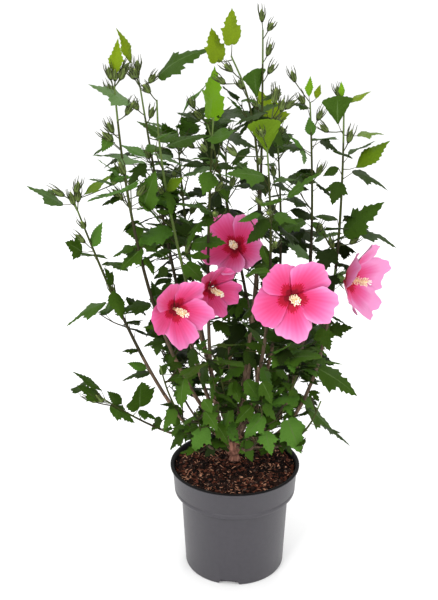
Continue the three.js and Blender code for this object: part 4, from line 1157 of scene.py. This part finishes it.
def add_heart(sheaf, bloom, random):
    """The column with its stamens and stigma, the calyx with its bracts, and the stalk."""
    def on_axis(distance):
        return bloom.centre + bloom.ahead * (distance - bloom.funnel)
    scale = bloom.radius / 55
    column = BLOOM["column"]
    add_tube(sheaf, [on_axis(-2), on_axis(column * 0.3), on_axis(column * 0.75), on_axis(column)],
             np.array([2.6, 2.2, 1.8, 1.2]) * scale, 8, tint=COLUMN)
    for _ in range(STAMENS):
        t, turn = 0.28 + 0.66 * random(), random() * 2 * math.pi
        out = turned_out(bloom.across, bloom.third, turn)
        root, reach = on_axis(column * t), (3.8 + 2.8 * random()) * scale
        tip = root + out * reach + bloom.ahead * (1.5 + 2 * random())
        add_tube(sheaf, [root, tip], [0.35, 0.25], 3, tint=COLUMN)
        sheaf.add(tip + BEAD * (0.85 + 0.35 * random()), tris=BEAD_TRIS, tint=ANTHER)
    for k in range(STIGMAS):
        out = turned_out(bloom.across, bloom.third, 2 * math.pi * k / STIGMAS)
        tip = on_axis(column + 5 * scale) + out * 3 * scale
        add_tube(sheaf, [on_axis(column - 1), tip], [0.6, 0.5], 4, tint=STIGMA)
        sheaf.add(tip + BEAD * 1.3 * scale, tris=BEAD_TRIS, tint=STIGMA)
    back = -BLOOM["calyx"]
    share = np.linspace(0, 1, 7)
    add_tube(sheaf, [on_axis(back + s * (-3 - back)) for s in share],
             np.array([1.5, 3.6, 5, 5.6, 5.6, 5, 3]) * scale, 15, tint=CALYX,
             wobble=[1 + 0.07 * np.cos(5 * 2 * np.pi * np.arange(15) / 15)] * 7)
    for count, reach, spread, opening, width in (SEPALS, OUTER_BRACTS):
        for k in range(count):
            out = turned_out(bloom.across, bloom.third, 2 * math.pi * (k + 0.5) / count)
            side = np.cross(bloom.ahead, out)
            steps = np.linspace(0, 1, 6)
            spine = [on_axis(back + 2 + reach * t) + out * (2.2 + spread * t ** opening) * scale
                     for t in steps]
            wide = width * np.sin(np.pi * (0.18 + 0.82 * steps)) ** 0.8 + 0.1
            points = np.concatenate([[p - side * w, p + out * 0.4 * w, p + side * w]
                                     for p, w in zip(spine, wide)])
            quads = [(at, at + 1, at + 4, at + 3) for i in range(5) for at in (3 * i, 3 * i + 1)]
            sheaf.add(points, quads, tint=CALYX)
    root, end = bloom.pedicel
    stalk = [root, mix(root, end, 0.5) - UP * 1.5, end + bloom.ahead]
    add_tube(sheaf, stalk, [1.2, 1.15, 1.6], 6, tint=CALYX)


petals, hearts = Sheaf(), Sheaf()
random = seeded_random(55)
for bloom in blooms:
    for number in range(BLOOM["petals"]):
        add_petal(petals, bloom, number, random)
    add_heart(hearts, bloom, random)
petals.build("petals", petal_materials, "foliage", toned=True)
hearts.build("flower_hearts", heart_materials, "foliage")

# ---------- trunk and boughs ----------

trunk_bark = shader("trunk_bark", (128, 92, 76), 0.85, specular=0.15)
bough_bark = shader("bough_bark", (104, 86, 70), 0.85, specular=0.15)
add_mottle(trunk_bark, (98, 64, 54), (168, 118, 100), 90, stretch=(3, 3, 0.6))
add_mottle(bough_bark, (76, 60, 49), (134, 110, 90), 90, stretch=(3, 3, 0.6))
for bark in (trunk_bark, bough_bark):
    add_bump(bark, 260, 0.0012, detail=5, stretch=(2.5, 2.5, 0.5))


def bark_wobble(rings, sides, seed, amount):
    """The bark's relief: each point's own share of its ring's radius, smoothed along the limb."""
    made = np.random.default_rng(seed).normal(0, 1, (rings, sides))
    made = (made + np.roll(made, 1, 0) + np.roll(made, -1, 0)) / 3
    return 1 + amount * made


TRUNK_SIDES, BOUGH_SIDES = 40, 12
limbs = Sheaf()
foot = TRUNK["foot"]
spots = [mix(foot, KNUCKLE["centre"], share) for share, _ in TRUNK["rings"]]
spots[1][:2] = foot[:2]
radii = [radius for _, radius in TRUNK["rings"]]
for latitude in range(-45, 90, 9):
    spots.append(KNUCKLE["centre"] + UP * KNUCKLE["radius"] * math.sin(math.radians(latitude)))
    radii.append(KNUCKLE["radius"] * 0.93 * math.cos(math.radians(latitude)))
add_tube(limbs, spots, radii, TRUNK_SIDES, wobble=bark_wobble(len(spots), TRUNK_SIDES, 5, 0.035))
for own, stem in enumerate(stems):
    path = smooth_path(stem.line.points[:stem.bare_steps + 1], 6)
    inside = [KNUCKLE["centre"] + stem.out * KNUCKLE["radius"] * share for share in (0.6, 0.85)]
    path = np.concatenate([inside, path])
    runs = np.linspace(0, stem.bare_steps / stem.steps, len(path) - 2) * stem.line.length
    radii = np.concatenate([[stem.foot_radius * 1.9, stem.foot_radius * 1.6], stem.radius(runs)])
    radii[2:8] *= np.linspace(1.35, 1, 6)[:len(radii[2:8])]
    wobble = bark_wobble(len(path), BOUGH_SIDES, 30 + own, 0.05)
    add_tube(limbs, path, radii, BOUGH_SIDES, tint=1, wobble=wobble)
piece = limbs.build("trunk_and_boughs", [trunk_bark, bough_bark], "bark")
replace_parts(piece, "trunk", *[f"bough_{stem.name}" for stem in stems])

# ---------- pot ----------

pot_outside = shader("pot_outside", (58, 56, 61), 0.4, specular=0.35)
add_mottle(pot_outside, (56, 54, 59), (60, 58, 63), 140, low=0.3, high=0.7)
add_bump(pot_outside, 900, 0.0002, detail=2)
pot_inside = shader("pot_inside", (14, 13, 14), 0.6, specular=0.15)
add_bump(pot_inside, 900, 0.0002, detail=2)


def lathe(profile, segments, tints):
    """A closed ring of a profile turned about Z; the profile's ends lie on the axis."""
    sheaf = Sheaf()
    turns = 2 * np.pi * np.arange(segments) / segments
    inner = profile[1:-1]
    points = np.array([(r * math.cos(t), r * math.sin(t), z) for r, z in inner for t in turns])
    points = np.concatenate([points, [(0, 0, profile[0][1]), (0, 0, profile[-1][1])]])
    side = np.arange(segments)
    nxt = (side + 1) % segments
    for ring in range(len(inner) - 1):
        a, b = ring * segments, (ring + 1) * segments
        sheaf.faces[4].append(np.stack([a + side, a + nxt, b + nxt, b + side], axis=-1))
        sheaf.tints[4].append(np.full(segments, tints[ring + 1]))
    last, first_point, last_point = (len(inner) - 1) * segments, len(points) - 2, len(points) - 1
    sheaf.faces[3] += [np.stack([nxt, side, np.full(segments, first_point)], axis=-1),
                       np.stack([last + side, last + nxt, np.full(segments, last_point)], axis=-1)]
    sheaf.tints[3] += [np.full(segments, tints[0]), np.full(segments, tints[-1])]
    sheaf.points.append(points)
    sheaf.count = len(points)
    return sheaf


collar_foot = POT["height"] - POT["collar_height"]
rim_foot = POT["height"] - POT["rim_height"]
wall_foot = POT["base_radius"] - POT["wall"]
wall_top = POT["body_radius"] - POT["wall"]
ring_inside = POT["base_radius"] - POT["foot_ring"]
pot_floor = POT["recess"] + POT["floor"]
OUTSIDE, INSIDE = range(2)
POT_PROFILE = [  # radius, height, and the side that the stretch up to the next point shows
    (0, 0, OUTSIDE), (POT["centre_pad"], 0, OUTSIDE), (POT["centre_pad"] + 2, POT["recess"], OUTSIDE),
    (ring_inside - 2, POT["recess"], OUTSIDE), (ring_inside, 0, OUTSIDE),
    (POT["base_radius"] - 2.5, 0, OUTSIDE),
    (POT["base_radius"] - 0.8, 0.8, OUTSIDE), (POT["base_radius"], 2.6, OUTSIDE),
    (POT["body_radius"] - 0.15, collar_foot - 3, OUTSIDE),
    (POT["body_radius"] + 0.6, collar_foot - 0.9, OUTSIDE),
    (POT["body_radius"] + 2.5, collar_foot, OUTSIDE), (POT["collar_foot_radius"] - 4, collar_foot, OUTSIDE),
    (POT["collar_foot_radius"] - 1.6, collar_foot + 0.6, OUTSIDE),
    (POT["collar_foot_radius"] - 0.4, collar_foot + 2.0, OUTSIDE),
    (POT["collar_foot_radius"], collar_foot + 4.5, OUTSIDE),
    (POT["collar_foot_radius"] + 0.25, collar_foot + 8.5, OUTSIDE),
    (POT["collar_foot_radius"] - 0.25, collar_foot + 9.3, OUTSIDE),
    (POT["collar_foot_radius"] + 0.3, collar_foot + 10.1, OUTSIDE),
    (POT["collar_top_radius"], rim_foot - 1, OUTSIDE), (POT["collar_top_radius"] + 0.6, rim_foot, OUTSIDE),
    (POT["rim_radius"] - 0.8, rim_foot + 0.3, OUTSIDE), (POT["rim_radius"], rim_foot + 1.0, OUTSIDE),
    (POT["rim_radius"], POT["height"] - 0.9, INSIDE), (POT["rim_radius"] - 0.9, POT["height"], INSIDE),
    (POT["collar_top_radius"] - 1.5, POT["height"], INSIDE),
    (POT["collar_top_radius"] - 2.4, POT["height"] - 0.9, INSIDE),
    (POT["collar_foot_radius"] - 2.4, collar_foot + 4.8, INSIDE), (wall_top, collar_foot + 2.4, INSIDE),
    (wall_foot, pot_floor + 2, INSIDE), (wall_foot - 4, pot_floor, INSIDE), (0, pot_floor, INSIDE),
]
POT_SEGMENTS, SOIL_SEGMENTS = 160, 96
pot = lathe([(r, z) for r, z, _ in POT_PROFILE], POT_SEGMENTS, [side for _, _, side in POT_PROFILE[:-1]])
pot_piece = pot.build("nursery_pot", [pot_outside, pot_inside], "pot_plastic")
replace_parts(pot_piece, "pot")
edges = pot_piece.modifiers.new("edges", "EDGE_SPLIT")
edges.split_angle = math.radians(50)


def cut_notches(piece):
    """Drain notches through the foot of the wall."""
    half, top, high, deep = NOTCH["width"] / 2, NOTCH["top_width"] / 2, NOTCH["height"], NOTCH["depth"]
    outside = POT["base_radius"] + 6
    for number in range(NOTCH["count"]):
        corners = [(-half, -1), (half, -1), (top, high), (-top, high)]
        points = [(x, outside - d, z) for d in (0, deep) for x, z in corners]
        angle = math.radians(NOTCH["first_azimuth"] - 90 + 360 / NOTCH["count"] * number)
        cos, sin = math.cos(angle), math.sin(angle)
        turned = [(x * cos - y * sin, x * sin + y * cos, z) for x, y, z in points]
        mesh = bpy.data.meshes.new("cutter")
        faces = [(3, 2, 1, 0), (4, 5, 6, 7), (1, 5, 4, 0), (2, 6, 5, 1), (3, 7, 6, 2), (0, 4, 7, 3)]
        mesh.from_pydata([tuple(c * MM for c in p) for p in turned], [], faces)
        cutter = bpy.data.objects.new("cutter", mesh)
        bpy.context.scene.collection.objects.link(cutter)
        cut = piece.modifiers.new("notch", "BOOLEAN")
        cut.object, cut.operation, cut.solver = cutter, "DIFFERENCE", "EXACT"
        piece.modifiers.move(len(piece.modifiers) - 1, 0)
        with bpy.context.temp_override(object=piece, active_object=piece):
            bpy.ops.object.modifier_apply(modifier=cut.name)
        bpy.data.objects.remove(cutter)


cut_notches(pot_piece)

# ---------- mulch ----------

mulch_materials = [
    shader("mulch_black", (20, 13, 11), 0.95, specular=0.1),
    shader("mulch_brown", (44, 26, 20), 0.9, specular=0.15),
    shader("mulch_red", (92, 50, 36), 0.9, specular=0.15),
    shader("mulch_tan", (186, 134, 106), 0.85, specular=0.2),
    shader("mulch_grey", (98, 78, 68), 0.9, specular=0.15),
]
for mulch_material in mulch_materials:
    add_bump(mulch_material, 500, 0.0012, detail=4)
edge_height = POT["height"] - SOIL["edge_below_rim"]
edge_share = (edge_height - collar_foot) / POT["collar_height"]
edge_radius = mix(POT["collar_foot_radius"], POT["collar_top_radius"], edge_share) - POT["wall"] - 2 * GAP
SOIL_FILL = 4  # how far the loose mulch fills the pot above the soil's edge
SOIL_SINK = 1.5  # how far the peat lies under the loose chips


def soil_height(x, y):
    """The height of the bed: a low mound, rough between the pot's wall and the trunk."""
    away = np.hypot(x, y)
    inward = np.clip((edge_radius - away) / (edge_radius - SOIL["flat_radius"]), 0, 1)
    swell = (SOIL["mound"] - SOIL_FILL) * inward ** 0.8
    rough = 1.3 * np.sin(x / 9 + 1) * np.cos(y / 7) + 0.9 * np.sin(x / 3.7 + y / 5.1)
    rough = rough + 0.6 * np.sin(y / 2.3 - x / 3)
    return edge_height + SOIL_FILL + swell + rough * np.clip((edge_radius - away) / 6, 0, 1) - SOIL_SINK


peat_foot = pot_floor + GAP
ground_profile = [(0, peat_foot), (wall_foot - 4.6, peat_foot), (wall_foot - 0.6, pot_floor + 2 + GAP),
                  (wall_top - 0.6, collar_foot + 2.4),
                  (POT["collar_foot_radius"] - 3, collar_foot + 5.1), (edge_radius, edge_height - SOIL_SINK)]
SOIL_RINGS = 40
ground_profile += [(edge_radius * (1 - (i + 1) / SOIL_RINGS), edge_height) for i in range(SOIL_RINGS)]
ground = lathe(ground_profile, SOIL_SEGMENTS, [0] * (len(ground_profile) - 1))
heights = ground.points[0]
top = heights[:, 2] >= edge_height - 1.6
heights[top, 2] = soil_height(heights[top, 0], heights[top, 1])
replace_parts(ground.build("peat", mulch_materials, "potting_mix"), "soil")

BOX_QUADS = [(0, 3, 2, 1), (4, 5, 6, 7), (0, 1, 5, 4), (1, 2, 6, 5), (2, 3, 7, 6), (3, 0, 4, 7)]
SQUARE = ((-1, -1), (1, -1), (1, 1), (-1, 1))
CORNERS = np.array([(x, y, z) for z in (-1, 1) for x, y in SQUARE], float)
CHIP_COUNT, FIBRE_SHARE, CHIP_TILT = 5200, 0.28, 0.35
TRUNK_CLEARANCE = 13  # no chip's middle lies nearer to the trunk's axis
CHIP_TINTS = [0.5, 0.32, 0.13, 0.02, 0.03]  # how often each of the mulch's colours comes up
FIBRE_TINTS = [0.1, 0.2, 0.35, 0.3, 0.05]


def add_chip(sheaf, grains):
    """A bark chip or a fibre strewn on the bed, unless it would stand in the trunk or out of the pot."""
    away, turn = (edge_radius - 2.5) * math.sqrt(grains.random()), grains.random() * 2 * math.pi
    x, y = away * math.cos(turn), away * math.sin(turn)
    if math.hypot(x - TRUNK["foot"][0], y - TRUNK["foot"][1]) < TRUNK_CLEARANCE:
        return
    fibre = grains.random() < FIBRE_SHARE
    size = (np.array([grains.uniform(3, 11), 0.55, 0.35]) if fibre
            else np.array([grains.uniform(1.5, 5.5), grains.uniform(1, 3), grains.uniform(0.5, 1.5)]))
    spin = grains.random() * math.pi
    tip_x, tip_y = grains.normal(0, CHIP_TILT), grains.normal(0, CHIP_TILT)
    ahead = unit(np.array([math.cos(spin), math.sin(spin), tip_x]))
    side = unit(np.cross(unit(np.array([tip_x, tip_y, 1.0])), ahead))
    axes = np.array([ahead, side, np.cross(ahead, side)])
    shape = CORNERS * size * (1 + 0.35 * (grains.random((8, 3)) - 0.5))
    spot = np.array([x, y, soil_height(x, y) + grains.uniform(0.2, 1.8)])
    tint = grains.choice(len(mulch_materials), p=FIBRE_TINTS if fibre else CHIP_TINTS)
    points = spot + shape @ axes
    reach, height = np.hypot(points[:, 0], points[:, 1]).max(), points[:, 2].max()
    if reach <= edge_radius + GAP and height <= POT["height"] - 0.5:
        sheaf.add(points, BOX_QUADS, tint=tint)


chips = Sheaf()
grains = np.random.default_rng(12)
for _ in range(CHIP_COUNT):
    add_chip(chips, grains)
chips.build("mulch_chips", mulch_materials, "potting_mix", smooth=False)

# ---------- floor, light and camera ----------

floor_mesh = bpy.data.meshes.new("floor")
FLOOR_REACH = 14
floor_mesh.from_pydata([(x * FLOOR_REACH, y * FLOOR_REACH, 0) for x, y in SQUARE], [], [(0, 1, 2, 3)])
floor = bpy.data.objects.new("floor", floor_mesh)
floor_mesh.materials.append(shader("floor_pale", (246, 246, 246), 0.9, specular=0.1))
bpy.context.scene.collection.objects.link(floor)

world = bpy.data.worlds.new("studio")
bpy.context.scene.world = world
world.use_nodes = True
world.node_tree.nodes["Background"].inputs["Color"].default_value = (1, 1, 1, 1)
world.node_tree.nodes["Background"].inputs["Strength"].default_value = 1.15


# The lamps: name, place and what it faces (m), size (m), power (W) and, on an upright strip, its height (m).
POT_MIDDLE = (0, 0, 0.12)
LAMPS = [
    ("key", (-1.6, -2.2, 2.6), (0, 0, 0.45), 1.6, 36, None),
    ("fill", (2.0, -1.8, 1.6), (0, 0, 0.4), 1.6, 14, None),
    ("back", (0.4, 2.2, 2.4), (0, 0, 0.5), 1.4, 20, None),
    ("strip_left", (-0.92, -2.0, 0.7), POT_MIDDLE, 0.08, 8, 1.3),
    ("strip_right", (0.45, -2.15, 0.7), POT_MIDDLE, 0.08, 8, 1.3),
]


def add_lamp(name, spot, target, size, watts, height):
    light = bpy.data.lights.new(name, "AREA")
    light.shape, light.size, light.energy = "DISK" if height is None else "RECTANGLE", size, watts
    if height is not None:
        light.size_y = height
    lamp = bpy.data.objects.new(name, light)
    lamp.location = spot
    lamp.rotation_euler = (Vector(target) - Vector(spot)).to_track_quat("-Z", "Y").to_euler()
    bpy.context.scene.collection.objects.link(lamp)


for lamp_spec in LAMPS:
    add_lamp(*lamp_spec)

camera_data = bpy.data.cameras.new("camera")
camera_data.lens, camera_data.sensor_width = VIEW["lens"], VIEW["sensor"]
camera = bpy.data.objects.new("camera", camera_data)
camera.location = VIEW["eye"] * MM
camera.rotation_euler = (math.radians(90 - VIEW["down"]), 0, 0)
bpy.context.scene.collection.objects.link(camera)
bpy.context.scene.camera = camera
bpy.context.scene.view_settings.view_transform = "Standard"
